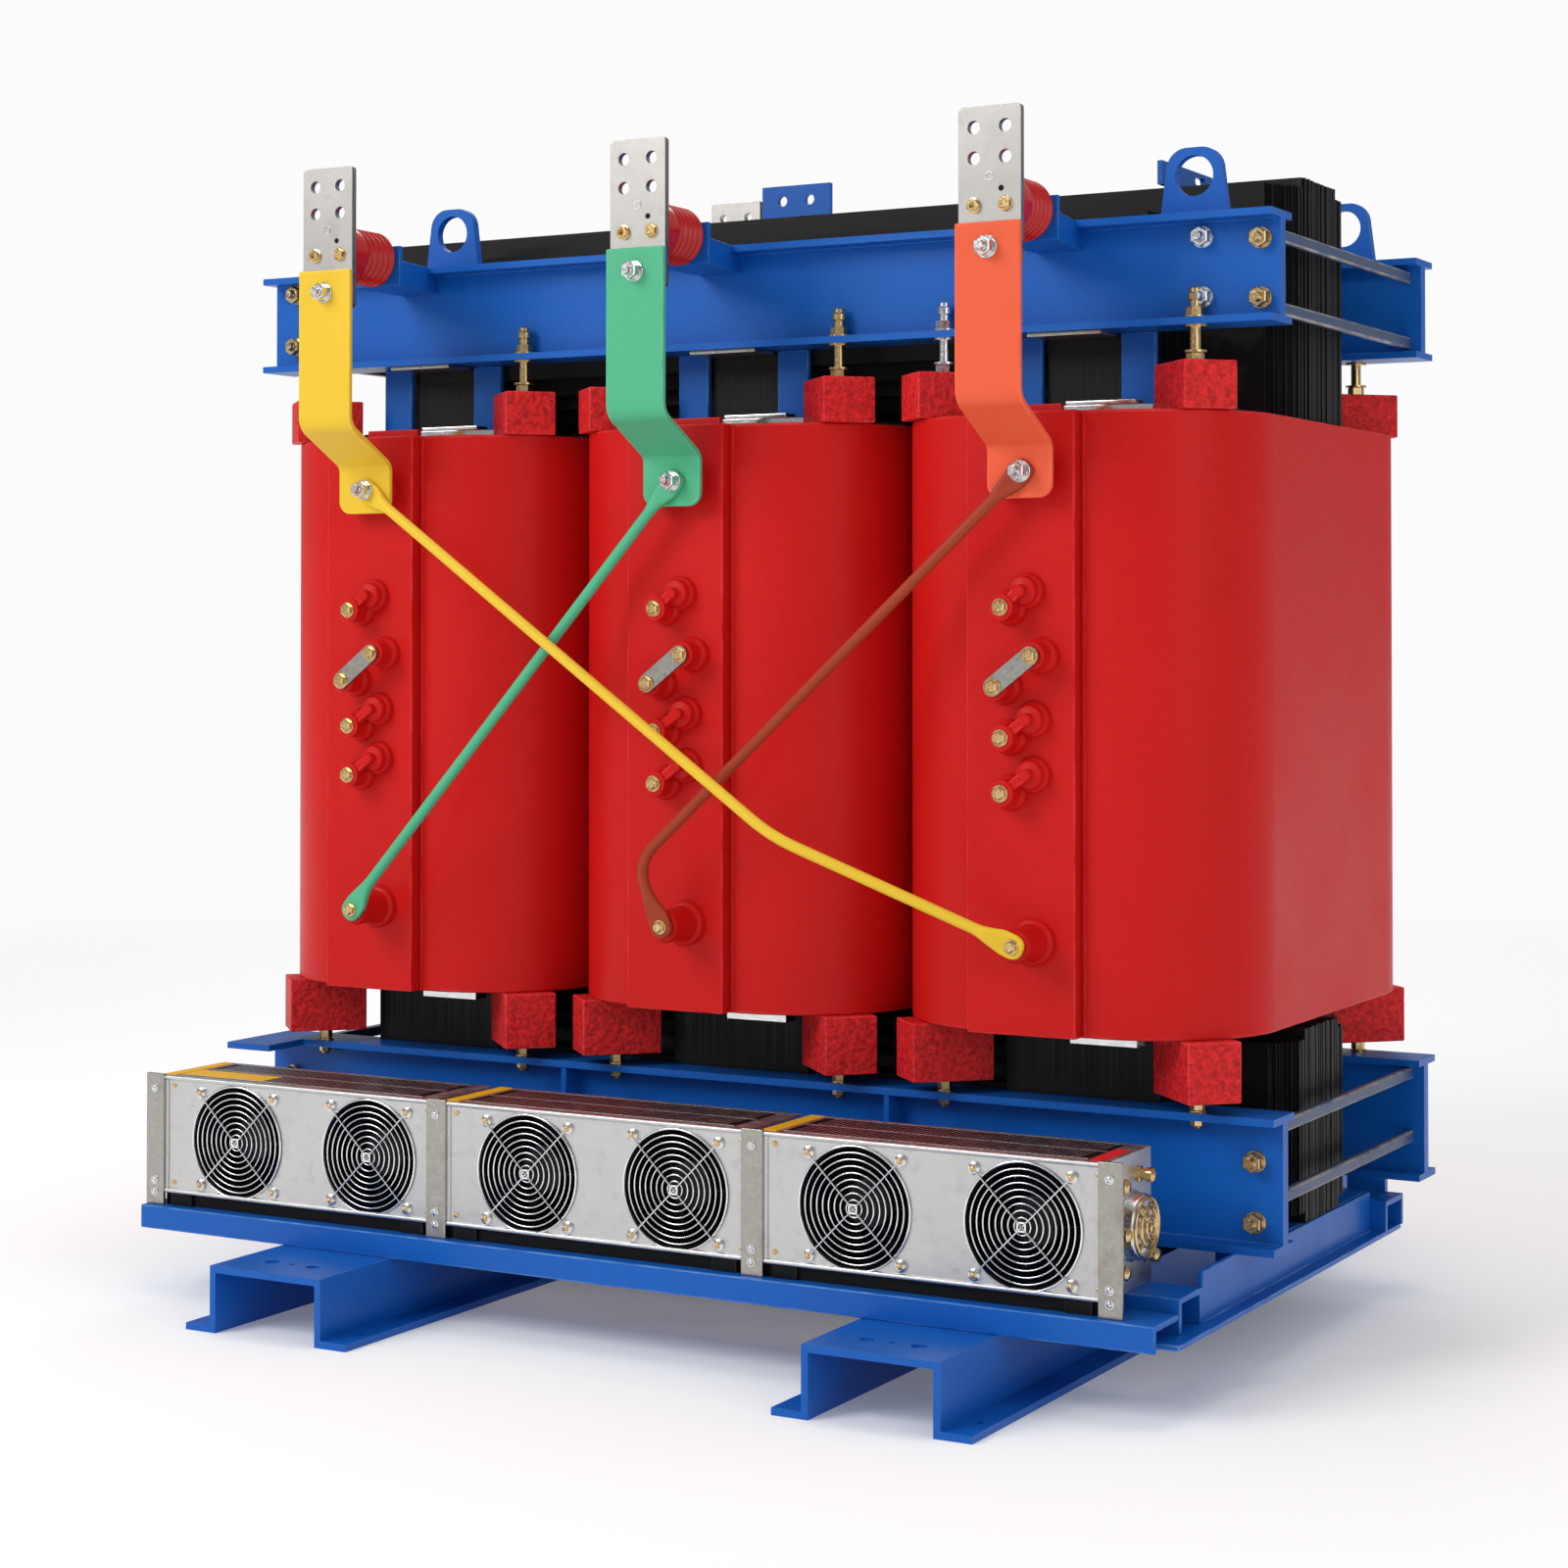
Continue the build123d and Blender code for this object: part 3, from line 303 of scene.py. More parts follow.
def step_between(tree, value, lowest, highest, most=1.0):
    """Rises from 0 to most as the value goes from lowest to highest."""
    inputs = {"Value": value, "From Min": lowest, "From Max": highest, "To Max": most}
    return node(tree, "ShaderNodeMapRange", inputs).outputs[0]


def product(tree, first, second):
    return node(tree, "ShaderNodeMath", {0: first, 1: second}, operation="MULTIPLY").outputs[0]


def new_group(name, inputs, outputs):
    """A shader node group with its sockets, and the nodes that lead in and out."""
    tree = bpy.data.node_groups.new(name, "ShaderNodeTree")
    for label, kind, value in inputs:
        socket = tree.interface.new_socket(label, in_out="INPUT", socket_type=kind)
        socket.default_value = value
    for label, kind in outputs:
        tree.interface.new_socket(label, in_out="OUTPUT", socket_type=kind)
    return tree, tree.nodes.new("NodeGroupInput").outputs, tree.nodes.new("NodeGroupOutput").inputs


def place_group(tree, group, inputs):
    made = node(tree, "ShaderNodeGroup", node_tree=bpy.data.node_groups[group])
    for name, value in inputs.items():
        if isinstance(value, bpy.types.NodeSocket):
            tree.links.new(value, made.inputs[name])
        else:
            made.inputs[name].default_value = value
    return made.outputs


def make_mottle_group():
    """Slow light and dark patches over a colour, with the same patches as a mask."""
    tree, given, out = new_group(
        "Mottle",
        [("Color", "NodeSocketColor", grey(0.5)), ("Scale", "NodeSocketFloat", 6.0),
         ("Amount", "NodeSocketFloat", 0.15)],
        [("Color", "NodeSocketColor"), ("Mask", "NodeSocketFloat")],
    )
    mask = noise(tree, object_place(tree), given["Scale"], 5.0, Roughness=0.6)
    swing = node(tree, "ShaderNodeMath", {0: mask, 1: 0.5}, operation="SUBTRACT").outputs[0]
    light = node(tree, "ShaderNodeMath", {0: product(tree, swing, given["Amount"]), 1: 1.0}, operation="ADD").outputs[0]
    tint = node(tree, "ShaderNodeVectorMath", {0: given["Color"], "Scale": light}, operation="SCALE")
    tree.links.new(tint.outputs[0], out["Color"])
    tree.links.new(mask, out["Mask"])


def make_edge_highlight_and_wear_group():
    """Lightens the rounded edges of a piece unevenly as a painted highlight, with a few spots rubbed through to the
    layer below as real wear.
    """
    tree, given, out = new_group(
        "Edge Highlight And Wear",
        [("Color", "NodeSocketColor", grey(0.5)), ("Edge", "NodeSocketColor", grey(0.8)),
         ("Under", "NodeSocketColor", (0.3, 0.2, 0.1, 1)), ("Amount", "NodeSocketFloat", 0.6)],
        [("Color", "NodeSocketColor"), ("Mask", "NodeSocketFloat")],
    )
    place = object_place(tree)
    edge = node(tree, "ShaderNodeAttribute", attribute_name="highlighted_worn_edge").outputs["Fac"]
    share = step_between(tree, noise(tree, place, 22.0, 4.0), 0.35, 0.65)
    mask = product(tree, product(tree, share, edge), given["Amount"])
    # Painted highlight: the rounded edges are lightened towards the edge colour
    lighter = mix(tree, mask, given["Color"], given["Edge"])
    # Real wear: small spots where the finish is rubbed through to the layer below
    chip = step_between(tree, noise(tree, place, 60.0, 3.0), 0.68, 0.72)
    tree.links.new(mix(tree, product(tree, chip, mask), lighter, given["Under"]), out["Color"])
    tree.links.new(mask, out["Mask"])


def make_grain_group():
    """Fine relief: small bumps of one scale, stretched along the piece's own axes."""
    tree, given, out = new_group(
        "Grain",
        [("Stretch", "NodeSocketVector", (1, 1, 1)), ("Scale", "NodeSocketFloat", 300.0),
         ("Detail", "NodeSocketFloat", 2.0)],
        [("Height", "NodeSocketFloat")],
    )
    stretched = node(tree, "ShaderNodeVectorMath", {0: object_place(tree), 1: given["Stretch"]}, operation="MULTIPLY")
    tree.links.new(noise(tree, stretched.outputs[0], given["Scale"], given["Detail"]), out["Height"])


def make_sheet_group():
    """Thin lines across one direction, as the edges of stacked sheets."""
    tree, given, out = new_group(
        "Sheet Lines",
        [("Color", "NodeSocketColor", grey(0.02)), ("Light", "NodeSocketColor", grey(0.2)),
         ("Stretch", "NodeSocketVector", (0, 1, 0)), ("Scale", "NodeSocketFloat", 300.0)],
        [("Color", "NodeSocketColor"), ("Height", "NodeSocketFloat")],
    )
    place = object_place(tree)
    across = node(tree, "ShaderNodeVectorMath", {0: place, 1: given["Stretch"]}, operation="MULTIPLY").outputs[0]
    fine = noise(tree, across, given["Scale"], 3.0, Roughness=0.7)
    line = step_between(tree, fine, 0.56, 0.74)
    patch = step_between(tree, noise(tree, place, 14.0, 4.0), 0.42, 0.70)
    tree.links.new(mix(tree, product(tree, line, patch), given["Color"], given["Light"]), out["Color"])
    tree.links.new(fine, out["Height"])


def own_name(finish):
    """The imported model has plain materials with the slots' names, so these get longer ones."""
    return f"{finish}_finish"


def new_material(name, **values):
    """A material with its shader, and the tree that its nodes go into."""
    material = bpy.data.materials.new(own_name(name))
    material.use_nodes = True
    tree = material.node_tree
    shader = tree.nodes["Principled BSDF"]
    for label, value in values.items():
        shader.inputs[label.replace("_", " ").title().replace("Ior", "IOR")].default_value = value
    return material, tree, shader


def bump(tree, shader, height, distance, strength=1.0):
    relief = node(tree, "ShaderNodeBump", {"Height": height, "Distance": distance, "Strength": strength})
    tree.links.new(relief.outputs["Normal"], shader.inputs["Normal"])


def spread(tree, mask, lowest, highest):
    """Turns a mask into a value between two limits."""
    inputs = {"Value": mask, "From Min": 0.3, "From Max": 0.7, "To Min": lowest, "To Max": highest}
    return node(tree, "ShaderNodeMapRange", inputs).outputs[0]


def painted(name, colour, edge, under, roughness=0.36, mottle=0.22, edge_light_and_wear=0.8):
    """Glossy sprayed paint: slight orange peel, cloudy patches, and rounded edges lightened by a painted highlight with
    a few chips of real wear.
    """
    material, tree, shader = new_material(
        name, roughness=roughness, coat_weight=0.06, coat_roughness=0.16, specular_ior_level=0.22)
    cloud = place_group(tree, "Mottle", {"Color": opaque(colour), "Scale": 5.0, "Amount": mottle})
    # Rounded edges turn towards the edge colour as a painted highlight, and chip to the under colour as real wear
    lit_and_worn = place_group(
        tree, "Edge Highlight And Wear", {"Color": cloud["Color"], "Edge": opaque(edge), "Under": opaque(under), "Amount": edge_light_and_wear})
    tree.links.new(lit_and_worn["Color"], shader.inputs["Base Color"])
    gloss = spread(tree, cloud["Mask"], roughness - 0.07, roughness + 0.09)
    tree.links.new(gloss, shader.inputs["Roughness"])
    peel = place_group(tree, "Grain", {"Scale": 170.0, "Detail": 2.0})
    bump(tree, shader, peel["Height"], 0.0006, 0.35)
    return material


def resin(name, colour, roughness, grain, depth, mottle=0.12, coat=0.02, speckle=0.0):
    """Moulded resin, from smooth and semi-gloss to grained like leather, with rounded edges lightened by a painted
    highlight.
    """
    material, tree, shader = new_material(
        name, roughness=roughness, coat_weight=coat, coat_roughness=0.25, specular_ior_level=0.14)
    cloud = place_group(tree, "Mottle", {"Color": opaque(colour), "Scale": 4.0, "Amount": mottle})
    # A lighter tone of the resin, painted on the rounded edges as a highlight
    pale = [min(1.0, part * 1.25 + 0.05) for part in colour]
    dots = place_group(tree, "Mottle", {"Color": cloud["Color"], "Scale": grain, "Amount": speckle})
    lit_and_worn = place_group(
        tree, "Edge Highlight And Wear", {"Color": dots["Color"], "Edge": opaque(pale), "Under": opaque(pale), "Amount": 0.55})
    tree.links.new(lit_and_worn["Color"], shader.inputs["Base Color"])
    gloss = spread(tree, cloud["Mask"], roughness - 0.06, roughness + 0.08)
    tree.links.new(gloss, shader.inputs["Roughness"])
    texture = place_group(tree, "Grain", {"Scale": grain, "Detail": 3.0})
    bump(tree, shader, texture["Height"], depth, 0.6)
    return material


def metal(name, colour, roughness, stretch=(1, 1, 1), scale=260.0, depth=0.00015, mottle=0.14, tarnish=None):
    """Bare metal: brushed along one direction, with faint clouds of tarnish."""
    material, tree, shader = new_material(name, metallic=1.0, roughness=roughness)
    cloud = place_group(tree, "Mottle", {"Color": opaque(colour), "Scale": 16.0, "Amount": mottle})
    shade = tarnish or [part * 0.72 for part in colour]
    dull = step_between(tree, noise(tree, object_place(tree), 45.0, 6.0), 0.55, 0.8, 0.6)
    tree.links.new(mix(tree, dull, cloud["Color"], opaque(shade)), shader.inputs["Base Color"])
    brushed = place_group(tree, "Grain", {"Stretch": stretch, "Scale": scale, "Detail": 4.0})
    gloss = spread(tree, brushed["Height"], roughness - 0.08, roughness + 0.12)
    tree.links.new(gloss, shader.inputs["Roughness"])
    bump(tree, shader, brushed["Height"], depth, 0.35)
    return material


def sheets(name, colour, light, stretch, scale=260.0):
    """The painted edges of stacked core sheets, with lines in one direction."""
    material, tree, shader = new_material(name, roughness=0.48, specular_ior_level=0.22)
    lines = place_group(
        tree, "Sheet Lines", {"Color": opaque(colour), "Light": opaque(light), "Stretch": stretch, "Scale": scale})
    tree.links.new(lines["Color"], shader.inputs["Base Color"])
    gloss = spread(tree, lines["Height"], 0.34, 0.62)
    tree.links.new(gloss, shader.inputs["Roughness"])
    bump(tree, shader, lines["Height"], 0.0012, 0.55)
    return material


class TRANSFORMER_OT_finishes(bpy.types.Operator):
    """Builds the shared shader effects and every finish"""

    bl_idname = "transformer.finishes"
    bl_label = "Finishes"

    def execute(self, context):
        colours = context.scene.transformer_colours
        make_mottle_group()
        make_edge_highlight_and_wear_group()
        make_grain_group()
        make_sheet_group()
        # The lighter blue on the rounded edges is a painted highlight; the brown is steel showing where the paint is
        # chipped
        painted("blue_paint", colours.blue, (0.10, 0.26, 0.62), (0.32, 0.20, 0.06))
        resin("cast_resin", colours.resin, 0.40, 90.0, 0.0007, mottle=0.16, speckle=0.12)
        resin("block_resin", colours.block, 0.46, 130.0, 0.0060, mottle=0.18, speckle=2.2)
        resin("insulator_resin", colours.insulator, 0.20, 120.0, 0.0003, coat=0.5)
        for tone in ("yellow", "green", "orange", "brown"):
            resin(f"{tone}_sleeve", getattr(colours, tone), 0.38, 150.0, 0.0004, mottle=0.08)
        metal("silver_foil", (0.74, 0.74, 0.75), 0.20, stretch=(1, 1, 12), scale=60.0)
        metal("fan_box_sheet", (0.63, 0.63, 0.625), 0.40, stretch=(1, 1, 14), scale=60.0, mottle=0.10)
        metal("bright_steel", (0.40, 0.39, 0.355), 0.30, scale=140.0, tarnish=(0.30, 0.26, 0.20))
        metal("silver_bolt", (0.74, 0.74, 0.75), 0.22, scale=200.0)
        metal("guard_wire", (0.86, 0.86, 0.87), 0.14, scale=200.0, mottle=0.05)
        metal("brass_fastener", (0.72, 0.52, 0.25), 0.22, scale=200.0, tarnish=(0.55, 0.30, 0.12))
        metal("tinned_bar", (0.41, 0.395, 0.375), 0.38, stretch=(10, 1, 1), scale=70.0, mottle=0.3,
              tarnish=(0.32, 0.29, 0.26))
        resin("fan_plastic", (0.012, 0.012, 0.013), 0.35, 200.0, 0.0003, mottle=0.3)
        resin("yellow_label", (0.80, 0.46, 0.02), 0.45, 150.0, 0.0002, mottle=0.35)
        resin("red_label", (0.70, 0.02, 0.02), 0.45, 150.0, 0.0002, mottle=0.2)
        # Dark paint whose rounded edges get a strong pale grey painted highlight, with chips of real wear
        painted("edge_lit_worn_steel", (0.05, 0.08, 0.16), (0.30, 0.28, 0.25), (0.20, 0.15, 0.10), edge_light_and_wear=1.0)
        # Near black for the feet, duct walls and pin holes, and as painted shade under the outlets and below the fan
        # boxes
        resin("flat_black_and_shade", (0.006, 0.006, 0.006), 0.60, 120.0, 0.0004, mottle=0.2)
        sheets("core_end_sheets", colours.core, (0.11, 0.095, 0.08), (0.0, 1.0, 0.006), scale=230.0)
        sheets("core_leg_sheets", colours.core, (0.028, 0.028, 0.028), (1.0, 0.0, 0.004), scale=180.0)
        return {"FINISHED"}


# Mesh tools

def along(place, direction):
    """The matrix of a piece whose own Z points along the direction."""
    return Matrix.Translation(place) @ Vector(direction).to_track_quat("Z", "Y").to_matrix().to_4x4()


def block(bm, lowest, highest):
    size = Vector(highest) - Vector(lowest)
    middle = (Vector(highest) + Vector(lowest)) / 2
    return bmesh.ops.create_cube(bm, size=1, matrix=Matrix.Translation(middle) @ Matrix.Diagonal((*size, 1)))["verts"]


def rod(bm, start, end, radius, segments=16, end_radius=None):
    way = Vector(end) - Vector(start)
    return bmesh.ops.create_cone(
        bm, cap_ends=True, segments=segments, radius1=radius, radius2=radius if end_radius is None else end_radius,
        depth=way.length, matrix=along(Vector(start) + way / 2, way))["verts"]


def bevel(bm, edges, width, segments, loop_slide=False):
    return bmesh.ops.bevel(
        bm, geom=list(edges), offset=width, offset_type="OFFSET", segments=segments, profile=0.5, affect="EDGES",
        material=-1, clamp_overlap=True, loop_slide=loop_slide)


def round_edges(bm, edges, width, segments=2):
    """Bevels the edges and marks the new faces, which get the painted edge highlight and the wear."""
    layer = bm.faces.layers.float.get("highlighted_worn_edge") or bm.faces.layers.float.new("highlighted_worn_edge")
    for face in bevel(bm, edges, width, segments, loop_slide=True)["faces"]:
        face[layer] = 1.0


def sharp_edges(bm, degrees=35):
    return [edge for edge in bm.edges if edge.is_manifold and edge.calc_face_angle(0) > radians(degrees)]


def turned(profile, segments=32):
    """A shape turned about its own Z from (radius, height) points."""
    bm = bmesh.new()
    points = [bm.verts.new((radius, 0, height)) for radius, height in profile]
    line = [bm.edges.new(pair) for pair in zip(points, points[1:])]
    bmesh.ops.spin(bm, geom=points + line, axis=UPWARDS, cent=(0, 0, 0), angle=tau, steps=segments,
                   use_merge=True, use_duplicate=False)
    bmesh.ops.remove_doubles(bm, verts=bm.verts, dist=1e-6)
    bmesh.ops.recalc_face_normals(bm, faces=bm.faces)
    return bm


def wire_ring(radius, height, thickness, sides, segments):
    """A ring of round wire about its own Z, of this half thickness."""
    turns = [number * tau / sides for number in range(sides)]
    profile = [(radius + thickness * cos(turn), height + thickness * sin(turn)) for turn in turns]
    return turned(profile + profile[:1], segments)


def put(bm, shape, *places):
    """Adds a copy of a finished shape at each place, given as a matrix."""
    for place in places:
        copy = shape.copy()
        copy.transform(place)
        mesh = bpy.data.meshes.new("copy")
        copy.to_mesh(mesh)
        copy.free()
        bm.from_mesh(mesh)
        bpy.data.meshes.remove(mesh)


def soft_block(bm, lowest, highest, width, place=Matrix()):
    """Adds a block with rounded edges."""
    made = bmesh.new()
    block(made, lowest, highest)
    round_edges(made, sharp_edges(made), width)
    put(bm, made, place)


def merged_copy(*nodes):
    """The solids of these nodes with their loose triangles joined into flat faces."""
    bm = bmesh.new()
    for name in nodes:
        bm.from_mesh(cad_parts[name].data)
    bmesh.ops.remove_doubles(bm, verts=bm.verts, dist=1e-5)
    bmesh.ops.dissolve_limit(bm, angle_limit=radians(0.5), verts=bm.verts, edges=bm.edges, delimit={"NORMAL"})
    return bm


def finish_piece(bm, name, material, body=ROOT, replaces=(), smooth=38):
    """Makes the object, with flat faces kept flat between its rounded edges, and ties it to its body."""
    bmesh.ops.recalc_face_normals(bm, faces=bm.faces)
    mesh = bpy.data.meshes.new(name)
    bm.to_mesh(mesh)
    bm.free()
    mesh.materials.append(bpy.data.materials[own_name(material)])
    mesh.polygons.foreach_set("use_smooth", [True] * len(mesh.polygons))
    mesh.set_sharp_from_angle(angle=radians(smooth))
    piece = bpy.data.objects.new(name, mesh)
    bpy.context.scene.collection.objects.link(piece)
    flat = piece.modifiers.new("Flat Faces", "WEIGHTED_NORMAL")
    flat.keep_sharp = True
    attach(piece, body)
    if replaces:
        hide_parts(*replaces)
    return piece


def dressed_node(name, material, width):
    """A node's own solids with rounded edges."""
    bm = merged_copy(name)
    round_edges(bm, sharp_edges(bm), width)
    finish_piece(bm, f"{name}_finished", material, replaces=[name])


def bead(bm, start, end, radius, dice, step=0.007):
    """A weld bead: a thin rod whose rings swell and shrink a little."""
    way = Vector(end) - Vector(start)
    count = max(2, round(way.length / step))
    ring = bmesh.ops.create_circle(bm, cap_ends=True, segments=6, radius=radius, matrix=along(start, way))
    loop = {edge for vert in ring["verts"] for edge in vert.link_edges}
    for number in range(count):
        grown = bmesh.ops.extrude_edge_only(bm, edges=list(loop))["geom"]
        verts = [item for item in grown if isinstance(item, bmesh.types.BMVert)]
        loop = {item for item in grown if isinstance(item, bmesh.types.BMEdge)}
        middle = Vector(start) + way * (number + 1) / count
        swell = radius * dice.uniform(0.8, 1.2)
        for vert in verts:
            vert.co += way / count
            vert.co = middle + (vert.co - middle).normalized() * swell
    bmesh.ops.edgeloop_fill(bm, edges=list(loop))


# Fasteners: each is turned and cut along its own Z, with its seat at zero

def hexagon(bm, across, bottom, top, chamfer=0.0012):
    radius = across / 2 / cos(pi / 6)
    made = rod(bm, (0, 0, bottom), (0, 0, top), radius, segments=6)
    rims = {edge for vert in made if vert.co.z > (bottom + top) / 2 for edge in vert.link_edges
            if all(end.co.z > (bottom + top) / 2 for end in edge.verts)}
    bevel(bm, rims, chamfer, 1)


def threaded(radius, bottom, top, pitch=0.002):
    """The profile of a threaded rod with a chamfered end."""
    points = [(0, bottom), (radius, bottom)]
    height = bottom
    while height + pitch < top - pitch:
        points += [(radius * 0.9, height + pitch / 2), (radius, height + pitch)]
        height += pitch
    return points + [(radius * 0.8, top), (0, top)]


def screw_shape(across=0.024, head=0.012, washer=0.015, stud=0.007, washer_height=0.0026):
    """A washer, a nut and the end of a threaded bolt."""
    bm = turned([(0, 0), (washer, 0), (washer, washer_height * 0.8), (washer * 0.97, washer_height),
                 (0, washer_height)], 28)
    spring, spring_top = across * 0.52, washer_height + 0.003
    put(bm, turned([(0, washer_height), (spring, washer_height), (spring, spring_top), (0, spring_top)], 24), Matrix())
    hexagon(bm, across, spring_top, spring_top + head)
    put(bm, turned(threaded(stud, spring_top + head - 0.001, spring_top + head + stud), 20), Matrix())
    return bm


def head_shape(across, head, washer, washer_height=0.0016):
    """A washer and a hexagon bolt head with a dished top."""
    top = washer_height + head
    bm = turned([(0, 0), (washer, 0), (washer, washer_height * 0.7), (washer * 0.95, washer_height),
                 (0, washer_height)], 28)
    hexagon(bm, across, washer_height, top)
    ring = [(across * 0.24, top), (across * 0.28, top + 0.0012), (across * 0.38, top + 0.0012),
            (across * 0.44, top - 0.0002)]
    put(bm, turned(ring, 24), Matrix())
    return bm


def socket_shape(radius, height, hole):
    """A low cylinder screw with a round socket."""
    return turned([(0, 0), (radius + 0.002, 0), (radius + 0.002, 0.001), (radius, 0.0015), (radius, height - 0.001),
                   (radius - 0.001, height), (hole, height), (hole, 0.0012), (0, 0.0012)], 28)


def dome_shape(radius=0.0065, washer=0.009):
    """A low cross-head screw on a flat washer."""
    rise = radius * 0.55
    arc = [(radius * cos(turn), 0.0014 + rise * sin(turn)) for turn in (0, pi / 8, pi / 4, 3 * pi / 8)]
    return turned([(0, 0), (washer, 0), (washer, 0.0012), (radius, 0.0014)] + arc[1:] + [(0, 0.0014 + rise)], 24)


# The painted steel

STEEL_NODES = (
    "skid_left", "skid_right", "base_cross_channel_front", "base_cross_channel_rear", "base_end_beam_left",
    "base_end_beam_right", "core_bearers", "fan_tray", "lower_clamp_front", "lower_clamp_rear", "upper_clamp_front",
    "upper_clamp_rear", "leg_tie_plates_front", "leg_tie_plates_rear",
    "insulator_brackets", "slotted_bracket", "rear_bracket_plate",
)
PALE_STEEL_NODES = ("end_ties_left", "end_ties_right")


class TRANSFORMER_OT_steel_frame(bpy.types.Operator):
    """Rounds the edges of the painted steel and adds the weld beads"""

    bl_idname = "transformer.steel_frame"
    bl_label = "Steel Frame"

    def execute(self, context):
        sizes = context.scene.transformer_sizes
        for name in STEEL_NODES:
            dressed_node(name, "blue_paint", sizes.edge_round)
        for name in PALE_STEEL_NODES:
            dressed_node(name, "edge_lit_worn_steel", sizes.edge_round * 1.5)
        self.welds(sizes.weld_bead)
        self.pads()
        return {"FINISHED"}

    def pads(self):
        """The bare packing pieces below the upper clamps, between the tie plates."""
        bm = bmesh.new()
        flange_bottom = low("upper_clamp_front").z
        for name in PHASES:
            for side in SIDES:
                front, back = sorted((side * PACKING_INNER_Y, side * PACKING_OUTER_Y))
                soft_block(bm, (phase_x[name] - PACKING_HALF_LENGTH, front, flange_bottom - PACKING_THICKNESS),
                           (phase_x[name] + PACKING_HALF_LENGTH, back, flange_bottom), 0.001)
        finish_piece(bm, "packing_pieces", "bright_steel")

    def welds(self, radius):
        dice = random.Random(7)
        bm = bmesh.new()
        for level in ("lower", "upper"):
            lowest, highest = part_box(f"{level}_clamp_front")
            top = lowest.z + BEAM_HEIGHTS[level]
            for side in SIDES:
                for z in (lowest.z + FLANGE, top - FLANGE):
                    start, end = lowest.x + 0.004, highest.x - 0.004
                    bead(bm, (start, side * WEB_FACE, z), (end, side * WEB_FACE, z), radius, dice)
        finish_piece(bm, "weld_beads", "blue_paint", smooth=60)


# The core

def between(pairs, place):
    """The value at a place along a list of (place, value) pairs."""
    for (start, first), (end, last) in zip(pairs, pairs[1:]):
        if place <= end:
            return first + (last - first) * (place - start) / (end - start)
    return pairs[-1][1]


class TRANSFORMER_OT_core(bpy.types.Operator):
    """Stacks the yokes and legs of the core from bundles of sheets"""

    bl_idname = "transformer.core"
    bl_label = "Laminated Core"

    def execute(self, context):
        sheet = context.scene.transformer_sizes.sheet
        for level in ("lower", "upper"):
            self.yoke(level, sheet)
        for name in PHASES:
            self.leg(name, sheet)
        dressed_node("leg_foot_boards", "core_leg_sheets", 0.0008)
        return {"FINISHED"}

    def bundles(self, sheet):
        """The front and back of each bundle, with its packet's half width and lost height."""
        reach = CORE_PACKETS[-1][0]
        count = round(2 * reach / sheet)
        thickness = 2 * reach / count
        for number in range(count):
            front = -reach + number * thickness
            middle = abs(front + thickness / 2)
            packet = next(values for values in CORE_PACKETS if middle < values[0])
            yield front, front + thickness, middle, packet

    def yoke(self, level, sheet):
        dice = random.Random(level)
        lowest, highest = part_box(f"core_yoke_{level}")
        bm = bmesh.new()
        for front, back, middle, (_, _, height_loss) in self.bundles(sheet):
            loss = between(YOKE_LOSSES, middle) + dice.uniform(0, 0.0035)
            top = highest.z - height_loss - dice.uniform(0, 0.0022)
            bottom = lowest.z + height_loss + dice.uniform(0, 0.0022)
            block(bm, (lowest.x + loss, front, bottom), (highest.x - loss, back, top))
            if level == "upper" and middle < FULL_YOKE_DEPTH:
                skirt_bottom = coil_top + 0.002 + dice.uniform(0, 0.003)
                for end, way in ((lowest.x + loss, 1), (highest.x - loss, -1)):
                    inner = end + way * SKIRT_LENGTH
                    block(bm, (min(end, inner), front, skirt_bottom), (max(end, inner), back, bottom))
        finish_piece(bm, f"core_sheets_{level}", "core_end_sheets", replaces=[f"core_yoke_{level}"])

    def leg(self, name, sheet):
        dice = random.Random(name)
        node_name = f"core_leg_{name}"
        lowest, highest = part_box(node_name)
        x = phase_x[name]
        deepest_loss = CORE_PACKETS[-1][2]
        bm = bmesh.new()
        for front, back, _, (_, half_width, height_loss) in self.bundles(sheet):
            width = half_width - dice.uniform(0, 0.0025)
            cut = deepest_loss - height_loss
            block(bm, (x - width, front, lowest.z + cut), (x + width, back, highest.z - cut))
        finish_piece(bm, f"core_sheets_{name}", "core_leg_sheets", replaces=[node_name])


# The coils

def upright_tube(half_width, half_depth, corner, wall, bottom, top, lip, segments=28):
    """A rounded-rectangle tube about the Z axis, with rounded rims."""
    bm = bmesh.new()
    block(bm, (-half_width, -half_depth, bottom), (half_width, half_depth, top))
    uprights = [edge for edge in bm.edges if abs(edge.verts[0].co.z - edge.verts[1].co.z) > 1e-6]
    bevel(bm, uprights, corner, segments)
    caps = [face for face in bm.faces if abs(face.normal.z) > 0.9]
    bmesh.ops.inset_region(bm, faces=caps, thickness=wall, use_even_offset=True, use_boundary=True)
    caps = [face for face in bm.faces if abs(face.normal.z) > 0.9 and len(face.verts) > 4]
    rims = [edge for face in caps for edge in face.edges]
    bmesh.ops.delete(bm, geom=caps, context="FACES_ONLY")
    bmesh.ops.bridge_loops(bm, edges=rims)
    edges = [edge for edge in sharp_edges(bm, 60) if abs(edge.verts[0].co.z - edge.verts[1].co.z) < 1e-6]
    round_edges(bm, edges, lip, 3)
    return bm


